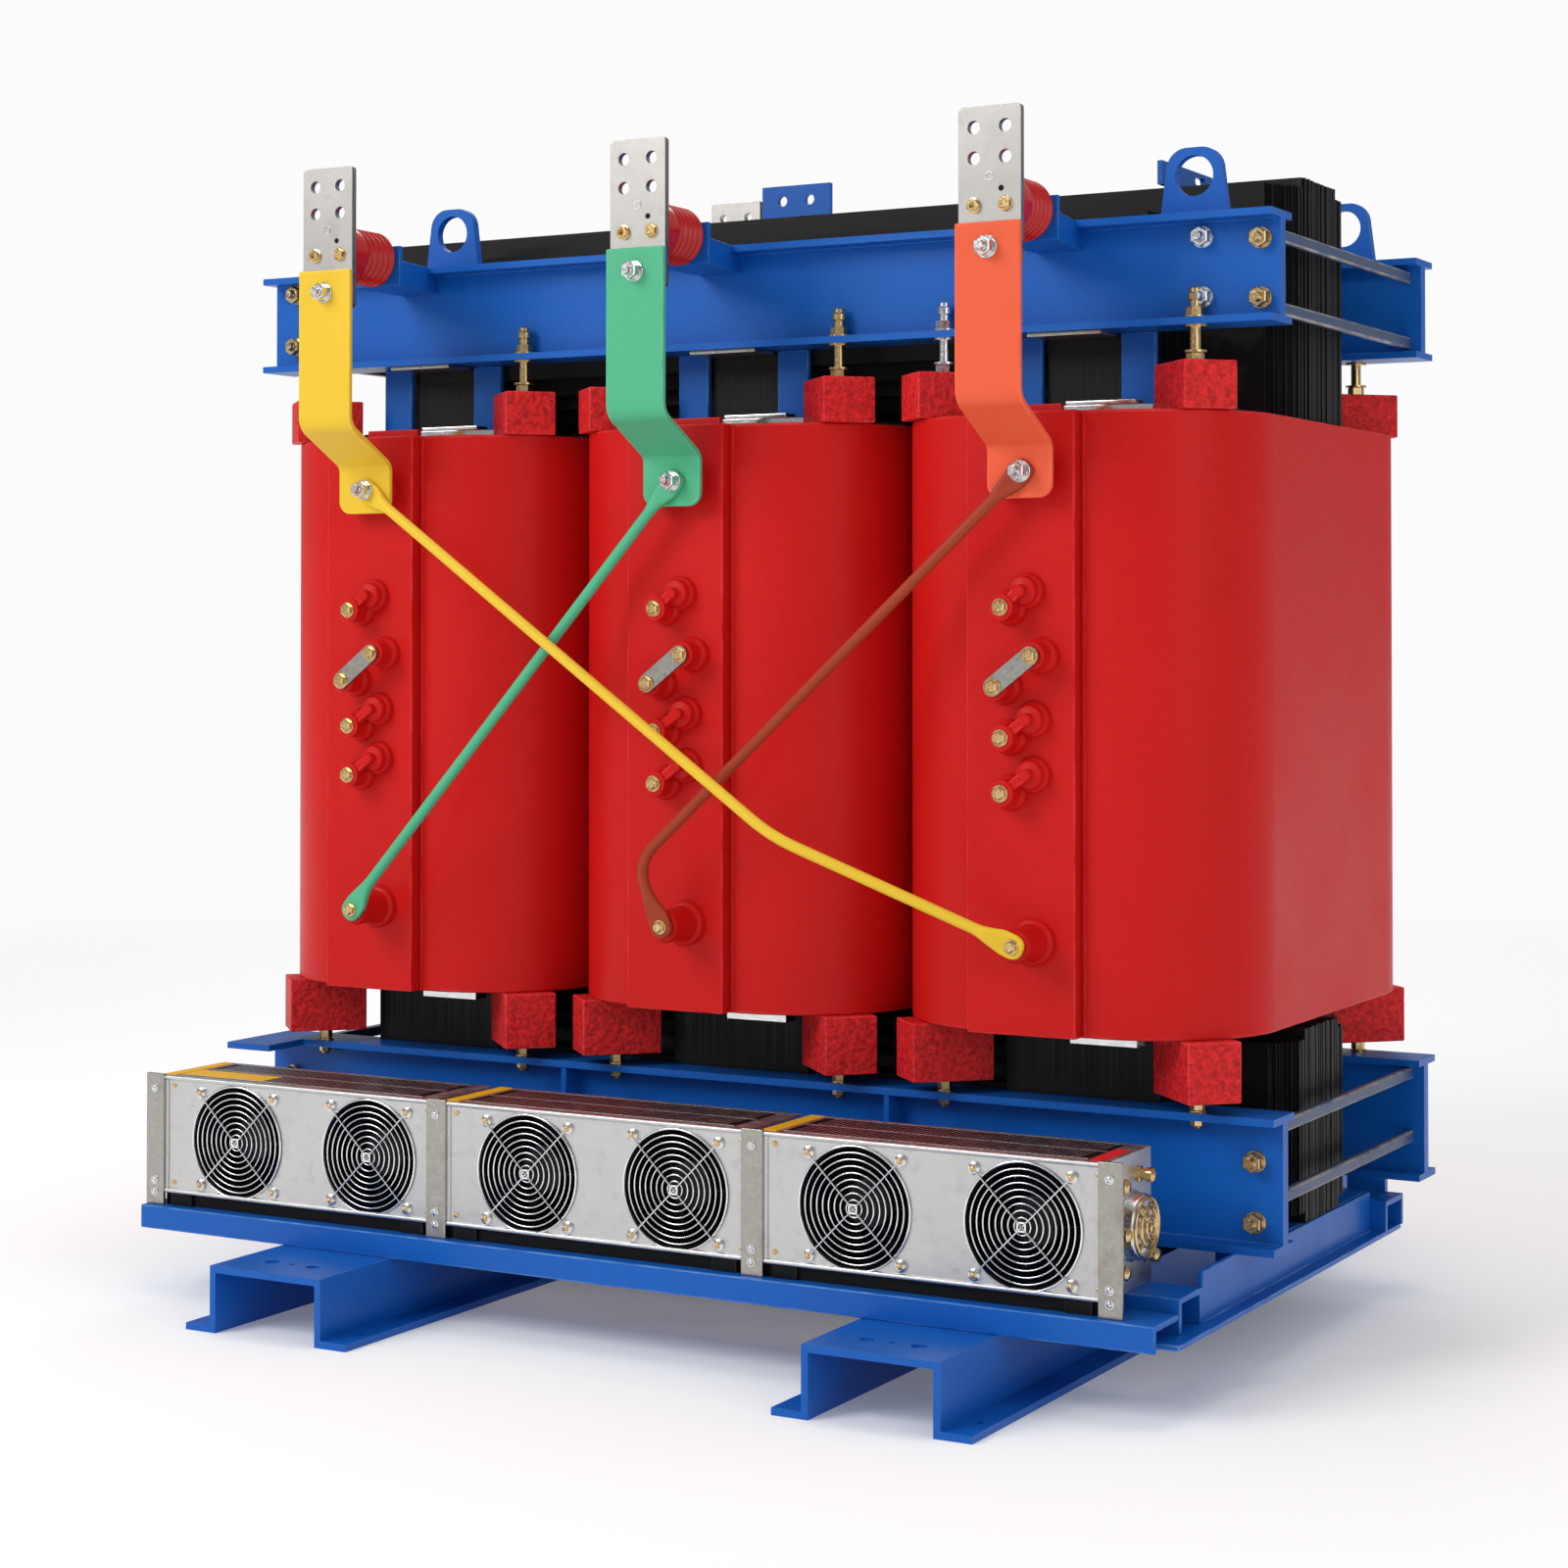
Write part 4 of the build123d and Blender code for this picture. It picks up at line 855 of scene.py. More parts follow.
class TRANSFORMER_OT_cast_coils(bpy.types.Operator):
    """Casts the three outer coils with their tap pads and bosses"""

    bl_idname = "transformer.cast_coils"
    bl_label = "Cast Coils"

    def execute(self, context):
        sizes = context.scene.transformer_sizes
        for name in PHASES:
            bm = upright_tube(coil_half_width, coil_half_depth, sizes.coil_corner, sizes.coil_wall,
                              coil_bottom, coil_top, sizes.coil_lip)
            self.pad(bm, sizes)
            self.bosses(bm, sizes)
            bmesh.ops.translate(bm, verts=bm.verts, vec=(phase_x[name], 0, 0))
            finish_piece(bm, f"cast_coil_{name}", "cast_resin", replaces=[f"hv_coil_{name}"])
        return {"FINISHED"}

    def pad(self, bm, sizes):
        """The flat pad that carries the taps, and the casting's seam beside it."""
        soft_block(bm, (PAD_LEFT, -coil_half_depth - sizes.pad_proud, coil_bottom),
                   (PAD_RIGHT, PAD_ROOT - coil_half_depth, coil_top), 0.0025)
        soft_block(bm, (SEAM_LEFT, -coil_half_depth - SEAM_PROUD, coil_bottom + 0.001),
                   (SEAM_RIGHT, -coil_half_depth + SEAM_ROOT, coil_top - 0.001), 0.0012)

    def bosses(self, bm, sizes):
        face = -coil_half_depth - sizes.pad_proud
        base = 0.009
        tip = BOSS_LENGTH - 0.0008
        foot = [(0, -0.002), (0.0255, -0.002), (0.0250, base * 0.55), (0.0232, base), (0.0205, base + 0.0015)]
        bolted = turned(foot + [(0.0188, base + 0.004), (0.0180, 0.020), (0.0176, tip - 0.007), (0.0187, tip - 0.005),
                                (0.0189, tip - 0.001), (0.0180, tip), (0, tip)], 40)
        closed = turned(foot + [(0.0195, 0.0185), (0.0180, 0.0205), (0.0120, 0.0215), (0.0092, 0.0225),
                                (0.0086, 0.0325), (0.0066, 0.0345), (0, 0.0345)], 40)
        for row, ends in enumerate(TAP_ROWS):
            first, second = (Vector((x, face, z)) for x, z in ends)
            put(bm, bolted, along(first, TO_FRONT))
            put(bm, bolted if row == LINKED_ROW else closed, along(second, TO_FRONT))
            if row != LINKED_ROW:
                self.arm(bm, first, second)
        ring = [(0, -0.002), (0.033, -0.002), (0.0325, base * 0.7), (0.0305, base), (0.0265, base + 0.002)]
        upper = turned(ring + [(0.0255, 0.0215), (0, 0.0215)], 40)
        end = LOWER_TERMINAL_LENGTH - 0.0005
        lower = turned(ring + [(0.0235, 0.030), (0.0235, LOWER_TERMINAL_LENGTH - 0.004), (0.0215, end), (0, end)], 40)
        put(bm, upper, along((TERMINAL_X, face, UPPER_TERMINAL_Z), TO_FRONT))
        put(bm, lower, along((TERMINAL_X, face, LOWER_TERMINAL_Z), TO_FRONT))

    def arm(self, bm, first, second):
        """The moulded arm from a bolted boss to the closed boss beside it."""
        way = second - first
        turn = way.normalized()
        across = TO_FRONT.cross(turn)
        place = Matrix.Translation(first) @ Matrix((turn, across, TO_FRONT)).transposed().to_4x4()
        soft_block(bm, (0, -0.0072, 0.020), (way.length, 0.0072, 0.0340), 0.003, place)


class TRANSFORMER_OT_foil_coils(bpy.types.Operator):
    """Makes the foil coils that show above and below the cast coils"""

    bl_idname = "transformer.foil_coils"
    bl_label = "Foil Coils"

    def execute(self, context):
        for name in PHASES:
            lowest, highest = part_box(f"lv_coil_{name}")
            bm = upright_tube(foil_half.x, foil_half.y, FOIL_CORNER, FOIL_WALL, coil_bottom, highest.z, 0.0015)
            for side in SIDES:
                front, back = sorted((side * foil_half.y, side * (foil_half.y - FOIL_END_DEPTH)))
                soft_block(bm, (FOIL_END_LEFT, front, lowest.z), (FOIL_END_RIGHT, back, coil_bottom + 0.001), 0.0015)
                soft_block(bm, (0, front, highest.z - 0.001), (FOIL_END_RIGHT, back, highest.z + 0.0055), 0.0015)
            bmesh.ops.translate(bm, verts=bm.verts, vec=(phase_x[name], 0, 0))
            finish_piece(bm, f"foil_coil_{name}", "silver_foil", replaces=[f"lv_coil_{name}"])
            self.lip(name, highest.z)
        return {"FINISHED"}

    def lip(self, name, top):
        """The red cover over the left half of the foil's front edge."""
        bm = bmesh.new()
        soft_block(bm, (-0.100, -foil_half.y - 0.006, top - 0.012),
                   (-0.004, -foil_half.y + FOIL_END_DEPTH, top + 0.003), 0.0015)
        bmesh.ops.translate(bm, verts=bm.verts, vec=(phase_x[name], 0, 0))
        finish_piece(bm, f"foil_cover_{name}", "cast_resin")


class TRANSFORMER_OT_support_blocks(bpy.types.Operator):
    """Makes the grained support blocks, and the studs and nuts that press them"""

    bl_idname = "transformer.support_blocks"
    bl_label = "Support Blocks"

    def execute(self, context):
        dressed_node("lower_support_blocks", "block_resin", 0.0022)
        dressed_node("upper_support_blocks", "block_resin", 0.0022)
        places = [Vector((phase_x[name] + x * BLOCK_X, y * BLOCK_Y, 0)) for name in PHASES for x, y in CORNERS]
        silver_place = Vector((phase_x["right"] - BLOCK_X, -BLOCK_Y, 0))
        brass_places = [place for place in places if (place - silver_place).length > 0.001]
        self.studs("upper_block_studs", self.upper_stud(), brass_places)
        self.studs("lower_block_studs", self.lower_stud(), places)
        bm = bmesh.new()
        put(bm, self.upper_stud(), Matrix.Translation(silver_place))
        finish_piece(bm, "silver_block_stud", "silver_bolt")
        return {"FINISHED"}

    def studs(self, name, shape, places):
        bm = bmesh.new()
        put(bm, shape, *[Matrix.Translation(place) for place in places])
        finish_piece(bm, f"{name}_finished", "brass_fastener", replaces=[name])

    def upper_stud(self):
        """Nut on the block, bright rod, and above the flange a nut, a neck and a domed nut."""
        bottom, top = low("upper_block_studs").z, high("upper_block_studs").z
        flange_bottom = low("upper_clamp_front").z
        flange_top = flange_bottom + FLANGE
        ring_bottom = flange_top + NECK_HEIGHT
        bm = turned([(0, bottom), (0.0075, bottom), (0.0075, ring_bottom), (0, ring_bottom)], 20)
        washer = turned([(0, 0), (0.0160, 0), (0.0160, 0.0028), (0, 0.0028)], 24)
        seats = (bottom + NUT_TOP, flange_bottom - 0.0029, flange_top)
        put(bm, washer, *[Matrix.Translation((0, 0, z)) for z in seats])
        put(bm, turned([(0, ring_bottom), (0.0080, ring_bottom), (0.0100, ring_bottom + 0.0015), (0.0100, top - 0.009),
                        (0.0078, top - 0.007), (0.0076, top - 0.002), (0.0050, top), (0, top)], 24), Matrix())
        hexagon(bm, UPPER_NUT, bottom + 0.0005, bottom + NUT_TOP)
        hexagon(bm, UPPER_NUT, flange_top + 0.0028, flange_top + 0.0150)
        return bm

    def lower_stud(self):
        """A nut between the block and the flange, and a thin nut below the flange."""
        bottom, top = low("lower_block_studs").z, high("lower_block_studs").z
        flange_top = high("lower_clamp_front").z
        flange_bottom = flange_top - FLANGE
        bm = turned(threaded(0.0068, bottom, top - 0.0005), 18)
        hexagon(bm, 0.0185, flange_top + 0.003, top - 0.0020)
        hexagon(bm, 0.0165, flange_bottom - 0.0080, flange_bottom - 0.0005)
        washer = turned([(0, 0), (0.0125, 0), (0.0125, 0.0025), (0, 0.0025)], 24)
        put(bm, washer, Matrix.Translation((0, 0, flange_top)), Matrix.Translation((0, 0, top - 0.0027)))
        return bm


# Terminals and links

class TRANSFORMER_OT_terminals(bpy.types.Operator):
    """Makes the sleeved phase bars, their terminal plates and the ribbed insulators"""

    bl_idname = "transformer.terminals"
    bl_label = "High-Voltage Terminals"

    def execute(self, context):
        for name, tone in zip(PHASES, ("yellow", "green", "orange")):
            self.bar(name, tone)
        self.plates()
        self.insulators()
        self.bolts()
        return {"FINISHED"}

    def bar(self, name, tone):
        node_name = f"phase_bar_{name}"
        bm = merged_copy(node_name)
        foot = low(node_name).z
        foot_corners = [edge for edge in bm.edges if all(vert.co.z < foot + 1e-5 for vert in edge.verts)
                        and abs(edge.verts[0].co.x - edge.verts[1].co.x) < 1e-6]
        bevel(bm, foot_corners, 0.020, 8)
        round_edges(bm, sharp_edges(bm, 45), 0.0026, 3)
        finish_piece(bm, f"{node_name}_sleeve", f"{tone}_sleeve", replaces=[node_name], smooth=50)

    def plates(self):
        bm = merged_copy("hv_terminal_plates")
        lowest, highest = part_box("hv_terminal_plates")
        corners = [edge for edge in bm.edges if abs(edge.verts[0].co.y - edge.verts[1].co.y) > 0.005
                   and min(edge.verts[0].co.z - lowest.z, highest.z - edge.verts[0].co.z) < 1e-5]
        bevel(bm, corners, 0.006, 5)
        round_edges(bm, sharp_edges(bm), 0.0010)
        finish_piece(bm, "terminal_plates_finished", "tinned_bar", replaces=["hv_terminal_plates"])

    def insulators(self):
        """From the back: five ribs, then a smooth front disc over the last third."""
        lowest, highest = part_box("post_insulators")
        length = highest.y - lowest.y
        ribs, pitch = 5, length * 0.125
        core_radius, rib_radius = 0.036, 0.042
        profile = [(0, 0), (core_radius, 0)]
        for rib in range(ribs):
            foot = rib * pitch
            profile += [(core_radius, foot + pitch * 0.10), (rib_radius - 0.0015, foot + pitch * 0.32),
                        (rib_radius, foot + pitch * 0.50), (rib_radius - 0.0015, foot + pitch * 0.68),
                        (core_radius, foot + pitch * 0.90)]
        profile += [(rib_radius - 0.0030, ribs * pitch), (rib_radius - 0.0006, ribs * pitch + 0.004),
                    (rib_radius - 0.0006, length - 0.010), (rib_radius - 0.0026, length - 0.004),
                    (rib_radius - 0.008, length), (0, length)]
        bm = bmesh.new()
        places = [along((phase_x[name] + BAR_X, highest.y, (lowest.z + highest.z) / 2), TO_FRONT) for name in PHASES]
        put(bm, turned(profile, 48), *places)
        finish_piece(bm, "ribbed_insulators", "insulator_resin", replaces=["post_insulators"], smooth=70)

    def bolts(self):
        large = screw_shape(across=0.0225, washer=0.0155)
        small = head_shape(0.0150, 0.006, 0.0105)
        punch = turned([(0.0048, -0.0005), (0.0048, 0.0007), (0.0062, 0.0007), (0.0062, -0.0005)], 20)
        hole = turned([(0, -0.0005), (0.0042, -0.0005), (0.0040, 0.0003), (0, 0.0003)], 16)
        silver, brass, dark = bmesh.new(), bmesh.new(), bmesh.new()
        for name in PHASES:
            x = phase_x[name] + BAR_X
            terminal = phase_x[name] + TERMINAL_X
            put(silver, large, along((x, bar_front, BAR_BOLT_Z), TO_FRONT))
            put(silver, large, along((terminal, UPPER_LUG_BACK - SLEEVE_CENTRE, UPPER_TERMINAL_Z), TO_FRONT))
            put(silver, punch, along((x, plate_front, PUNCH_Z), TO_FRONT))
            left_screw, right_screw = (
                along((x + side * PLATE_SCREW_X, plate_front, PLATE_SCREW_Z), TO_FRONT) for side in SIDES)
            put(brass, socket_shape(0.0085, 0.007, 0.0042), left_screw)
            put(brass, head_shape(0.0150, 0.005, 0.0105), right_screw)
            put(brass, small, along((terminal, LOWER_LUG_BACK - SLEEVE_CENTRE, LOWER_TERMINAL_Z), TO_FRONT))
            put(dark, hole, along((x + PIN_HOLE_X, plate_front, PIN_HOLE_Z), TO_FRONT))
        finish_piece(silver, "terminal_bolts_silver", "silver_bolt")
        finish_piece(brass, "terminal_bolts_brass", "brass_fastener")
        finish_piece(dark, "terminal_pin_holes", "flat_black_and_shade")


class TRANSFORMER_OT_links(bpy.types.Operator):
    """Makes the sleeved links between the phases and the tap links with their bolts"""

    bl_idname = "transformer.links"
    bl_label = "Links"

    def execute(self, context):
        for tone, start, end, bend in LINKS:
            upper = Vector((phase_x[start] + TERMINAL_X, UPPER_LUG_BACK, UPPER_TERMINAL_Z))
            lower = Vector((phase_x[end] + TERMINAL_X, LOWER_LUG_BACK, LOWER_TERMINAL_Z))
            self.link(tone, upper, lower, bend)
        self.tap_links()
        self.tap_bolts(context.scene.transformer_sizes)
        return {"FINISHED"}

    def route(self, start, end, bend):
        """Points of the sleeve's centre line from bolt to bolt, with the bend rounded."""
        aims = (bend or end, bend or start)
        ends = []
        for bolt, aim in zip((start, end), aims):
            way = Vector((aim.x - bolt.x, 0, aim.z - bolt.z)).normalized()
            ends.append([bolt + TO_FRONT * (LUG_CENTRE if number < FLAT_SECTIONS else SLEEVE_CENTRE) + way * section[0]
                         for number, section in enumerate(LINK_SECTIONS)])
        first, last = ends
        if bend:
            before = (first[-1] - bend).normalized() * BEND_REACH
            after = (last[-1] - bend).normalized() * BEND_REACH
            rounded = [(bend + before) * (1 - t) ** 2 + bend * 2 * t * (1 - t) + (bend + after) * t ** 2
                       for t in (step / 8 for step in range(9))]
        else:
            rounded = [(first[-1] + last[-1]) / 2]
        return first + rounded + last[::-1]

    def link(self, tone, start, end, bend):
        points = self.route(start, end, bend)
        bm = bmesh.new()
        rings = []
        segments = 24
        for number, point in enumerate(points):
            before, after = points[max(number - 1, 0)], points[min(number + 1, len(points) - 1)]
            way = (after - before).normalized()
            front = (TO_FRONT - way * TO_FRONT.dot(way)).normalized()
            across = way.cross(front)
            nearest = min(number, len(points) - 1 - number)
            _, width, thickness, power = LINK_SECTIONS[min(nearest, len(LINK_SECTIONS) - 1)]
            ring = []
            for segment in range(segments):
                turn = tau * segment / segments
                c, s = cos(turn), sin(turn)
                ring.append(bm.verts.new(
                    point + across * width * abs(c) ** (2 / power) * (1 if c > 0 else -1)
                    + front * thickness * abs(s) ** (2 / power) * (1 if s > 0 else -1)))
            rings.append(ring)
        for first, second in zip(rings, rings[1:]):
            for segment in range(segments):
                after = (segment + 1) % segments
                bm.faces.new((first[segment], first[after], second[after], second[segment]))
        bm.faces.new(rings[0])
        bm.faces.new(rings[-1])
        finish_piece(bm, f"phase_link_{tone}_sleeve", f"{tone}_sleeve", replaces=[f"phase_link_{tone}"], smooth=50)

    def tap_links(self):
        """Flat links with a raised rim."""
        bm = merged_copy("tap_links")
        layer = bm.faces.layers.float.new("highlighted_worn_edge")
        front = low("tap_links").y
        flush = {face for face in bm.faces if all(abs(vert.co.y - front) < 1e-5 for vert in face.verts)}
        faces = [face for face in bm.faces if face.normal.y < -0.99 or face in flush]
        bmesh.ops.inset_region(bm, faces=faces, thickness=0.0022, use_even_offset=True, use_boundary=True)
        inner = [face for face in bm.faces
                 if all(abs(vert.co.y - front) < 1e-5 for vert in face.verts) and len(face.verts) > 4]
        pushed = bmesh.ops.inset_region(
            bm, faces=inner, thickness=0.0005, depth=-0.0010, use_even_offset=True, use_boundary=True)
        for face in pushed["faces"]:
            face[layer] = 1.0
        finish_piece(bm, "tap_links_finished", "bright_steel", replaces=["tap_links"])

    def tap_bolts(self, sizes):
        shape = head_shape(0.0175, 0.0055, 0.0120)
        face = -coil_half_depth - sizes.pad_proud - BOSS_LENGTH
        bm = bmesh.new()
        for name in PHASES:
            for row, ends in enumerate(TAP_ROWS):
                bolted = ends if row == LINKED_ROW else ends[:1]
                seat = face - LUG_CENTRE if row == LINKED_ROW else face + 0.0006
                put(bm, shape, *[along((phase_x[name] + x, seat, z), TO_FRONT) for x, z in bolted])
        finish_piece(bm, "tap_bolts", "brass_fastener")


# Fans

class TRANSFORMER_OT_fan_boxes(bpy.types.Operator):
    """Makes the sheet-metal fan boxes with their lips, air outlets, straps and screws"""

    bl_idname = "transformer.fan_boxes"
    bl_label = "Fan Boxes"

    def execute(self, context):
        sizes = context.scene.transformer_sizes
        for name in PHASES:
            dressed_node(f"fan_box_{name}", "fan_box_sheet", 0.0012)
        dressed_node("fan_box_feet", "flat_black_and_shade", 0.002)
        dressed_node("fan_box_straps", "bright_steel", 0.0012)
        self.lips()
        self.linings(sizes)
        self.outlets(sizes)
        self.labels()
        self.corner_screws()
        return {"FINISHED"}

    def lips(self):
        bm = bmesh.new()
        for name in PHASES:
            lowest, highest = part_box(f"fan_box_{name}")
            left, right = lowest.x + 0.001, highest.x - 0.001
            for z in (lowest.z + 0.003, highest.z - 0.0035):
                for y, radius in ((box_front - 0.0005, 0.0036), (box_back - 0.002, 0.0034)):
                    rod(bm, (left, y, z), (right, y, z), radius, segments=14)
            for x in (lowest.x + 0.0115, highest.x - 0.0115):
                soft_block(bm, (x - 0.0045, box_front - 0.0022, lowest.z + 0.006),
                           (x + 0.0045, box_front + 0.001, highest.z - 0.007), 0.0009)
        finish_piece(bm, "fan_box_lips", "fan_box_sheet", smooth=50)

    def linings(self, sizes):
        """The dark walls and floor of each air duct."""
        bm = bmesh.new()
        depth, inside = DUCT_DEPTH, DUCT_DEPTH - 0.002
        radius = sizes.guard_radius - DUCT_LIP
        for x in fan_x:
            tube = turned([(MOTOR_RADIUS, depth), (radius, depth), (radius, DUCT_LIP), (radius - LINING, DUCT_LIP),
                           (radius - LINING, inside), (MOTOR_RADIUS, inside), (MOTOR_RADIUS, depth)], 56)
            put(bm, tube, along((x, box_front, fan_z), TO_REAR))
        finish_piece(bm, "duct_linings", "flat_black_and_shade", smooth=50)

    def outlets(self, sizes):
        """Slanted slots in a dark panel on top of each box."""
        bars, dark = bmesh.new(), bmesh.new()
        for name in PHASES:
            lowest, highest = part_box(f"fan_box_{name}")
            left, right = lowest.x + 0.034, highest.x - 0.030
            front, back = box_front + 0.010, box_back - 0.012
            block(dark, (left, front, box_top - 0.001), (right, back, box_top + 0.0005))
            count = int((right - left - SLOT_SLANT) / sizes.grille_pitch)
            for number in range(count):
                x = left + SLOT_SLANT / 2 + number * sizes.grille_pitch
                corners = [(x, front), (x + SLOT_WIDTH, front), (x + SLOT_WIDTH + SLOT_SLANT / 2, back),
                           (x + SLOT_SLANT / 2, back)]
                bars.faces.new([bars.verts.new((a, b, box_top + 0.0009)) for a, b in corners])
            for line in (front + 0.002, (front + back) / 2, back - 0.002):
                block(bars, (left, line - 0.0015, box_top + 0.0005), (right, line + 0.0015, box_top + 0.0011))
        finish_piece(bars, "outlet_bars", "fan_box_sheet")
        finish_piece(dark, "outlet_shadows", "flat_black_and_shade")

    def labels(self):
        """Plain stripes on top of the boxes, and a black strip below them as a painted shadow in the gap over the tray.
        """
        yellow, red, dark = bmesh.new(), bmesh.new(), bmesh.new()
        top = box_top + 0.0012
        for name in PHASES:
            lowest = low(f"fan_box_{name}")
            block(yellow, (lowest.x + 0.004, box_front + 0.004, box_top - 0.001),
                  (lowest.x + 0.026, box_back - 0.006, top))
        left = low("fan_box_left").x
        block(yellow, (left + 0.030, box_front + 0.012, box_top - 0.001),
              (left + 0.185, box_front + 0.060, top + 0.0003))
        right = high("fan_box_right").x
        block(red, (right - 0.026, box_front + 0.006, box_top - 0.001), (right - 0.008, box_front + 0.095, top))
        # Painted shadow: a black strip fills the gap between the fan boxes and the tray
        tray_top = high("fan_tray").z
        block(dark, (left + 0.006, box_front + 0.006, tray_top), (right - 0.006, box_front + 0.016, box_bottom))
        finish_piece(yellow, "yellow_labels", "yellow_label")
        finish_piece(red, "red_label", "red_label")
        finish_piece(dark, "fan_box_shadow_strip", "flat_black_and_shade")

    def corner_screws(self):
        bm = bmesh.new()
        screw = dome_shape(0.0030, 0.0042)
        for name in PHASES:
            lowest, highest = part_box(f"fan_box_{name}")
            for x in (lowest.x + 0.026, highest.x - 0.012):
                for z in (highest.z - 0.016, lowest.z + 0.016):
                    put(bm, screw, along((x, box_front, z), TO_FRONT))
        finish_piece(bm, "corner_screws", "brass_fastener")


class TRANSFORMER_OT_fan_guards(bpy.types.Operator):
    """Makes the wire guards with their arms and screws"""

    bl_idname = "transformer.fan_guards"
    bl_label = "Fan Guards"

    def execute(self, context):
        sizes = context.scene.transformer_sizes
        wire = sizes.guard_wire / 2
        guard = bmesh.new()
        for ring in range(GUARD_RINGS):
            radius = sizes.guard_radius - ring * sizes.guard_radius / (GUARD_RINGS + 0.3)
            thickness = wire * (1.35 if ring == 0 else 1.0)
            put(guard, wire_ring(radius, 0.0022, thickness, 6, 56), Matrix())
        reach = sizes.guard_radius + GUARD_SCREW_MARGIN
        for corner, height in ((45, 0.0042), (135, 0.0058)):
            turn = Vector((cos(radians(corner)), sin(radians(corner)), 0)) * reach
            rod(guard, turn + UPWARDS * height, UPWARDS * height - turn, wire, segments=8)
        for side in SIDES:
            inner, outer = side * HUB_SQUARE - wire, side * HUB_SQUARE + wire
            block(guard, (inner, -HUB_SQUARE, 0.0045), (outer, HUB_SQUARE, 0.0065))
            block(guard, (-HUB_SQUARE, inner, 0.0045), (HUB_SQUARE, outer, 0.0065))
        bm = bmesh.new()
        put(bm, guard, *[along((x, box_front, fan_z), TO_FRONT) for x in fan_x])
        finish_piece(bm, "wire_guards", "guard_wire", replaces=["fan_guards"], smooth=70)
        self.screws(reach)
        return {"FINISHED"}

    def screws(self, reach):
        screw = dome_shape(0.0036, 0.0048)
        cup = turned([(0, 0), (0.0088, 0), (0.0084, 0.0034), (0.0058, 0.0048), (0, 0.0048)], 24)
        brass, silver = bmesh.new(), bmesh.new()
        for x in fan_x:
            for corner in GUARD_CORNERS:
                turn = radians(corner)
                place = Vector((x + reach * cos(turn), box_front, fan_z + reach * sin(turn)))
                put(silver, cup, along(place, TO_FRONT))
                put(brass, screw, along(place + TO_FRONT * 0.0044, TO_FRONT))
        finish_piece(silver, "guard_cups", "silver_bolt")
        finish_piece(brass, "guard_screws", "brass_fastener")


class TRANSFORMER_OT_impellers(bpy.types.Operator):
    """Makes the six fan impellers, each on its own shaft"""

    bl_idname = "transformer.impellers"
    bl_label = "Impellers"

    def execute(self, context):
        shape = self.impeller()
        for number, x in enumerate(fan_x, 1):
            bm = bmesh.new()
            put(bm, shape, along((x, high(f"fan_impeller_{number}").y, fan_z), TO_FRONT))
            finish_piece(bm, f"impeller_{number}", "fan_plastic", body=f"fan_{number}",
                         replaces=[f"fan_impeller_{number}"], smooth=50)
        return {"FINISHED"}

    def impeller(self):
        hub_radius, hub_length = 0.036, 0.044
        bm = turned([(0.0054, 0.030), (0.0054, 0), (hub_radius - 0.002, 0), (hub_radius, 0.002),
                     (hub_radius, hub_length - 0.006), (hub_radius - 0.0018, hub_length - 0.0018),
                     (hub_radius - 0.006, hub_length), (0.020, hub_length - 0.0006), (0.018, hub_length - 0.002),
                     (0, hub_length - 0.002)], 40)
        blades, tip = 7, 0.0745
        for blade in range(blades):
            made = bmesh.new()
            steps, spread_angle = 6, radians(42)
            rows = []
            for ring in range(5):
                radius = hub_radius - 0.002 + (tip - hub_radius + 0.002) * ring / 4
                lead = radians(10) * ring / 4
                rise = 0.036 - 0.010 * ring / 4
                row = []
                for step in range(steps + 1):
                    turn = lead + spread_angle * step / steps
                    height = 0.003 + rise * (step / steps) ** 1.25
                    row.append(made.verts.new((radius * cos(turn), radius * sin(turn), height)))
                rows.append(row)
            for first, second in zip(rows, rows[1:]):
                for step in range(steps):
                    made.faces.new((first[step], first[step + 1], second[step + 1], second[step]))
            bmesh.ops.recalc_face_normals(made, faces=made.faces)
            bmesh.ops.solidify(made, geom=made.faces, thickness=0.0022)
            put(bm, made, Matrix.Rotation(tau * blade / blades, 4, "Z"))
        return bm


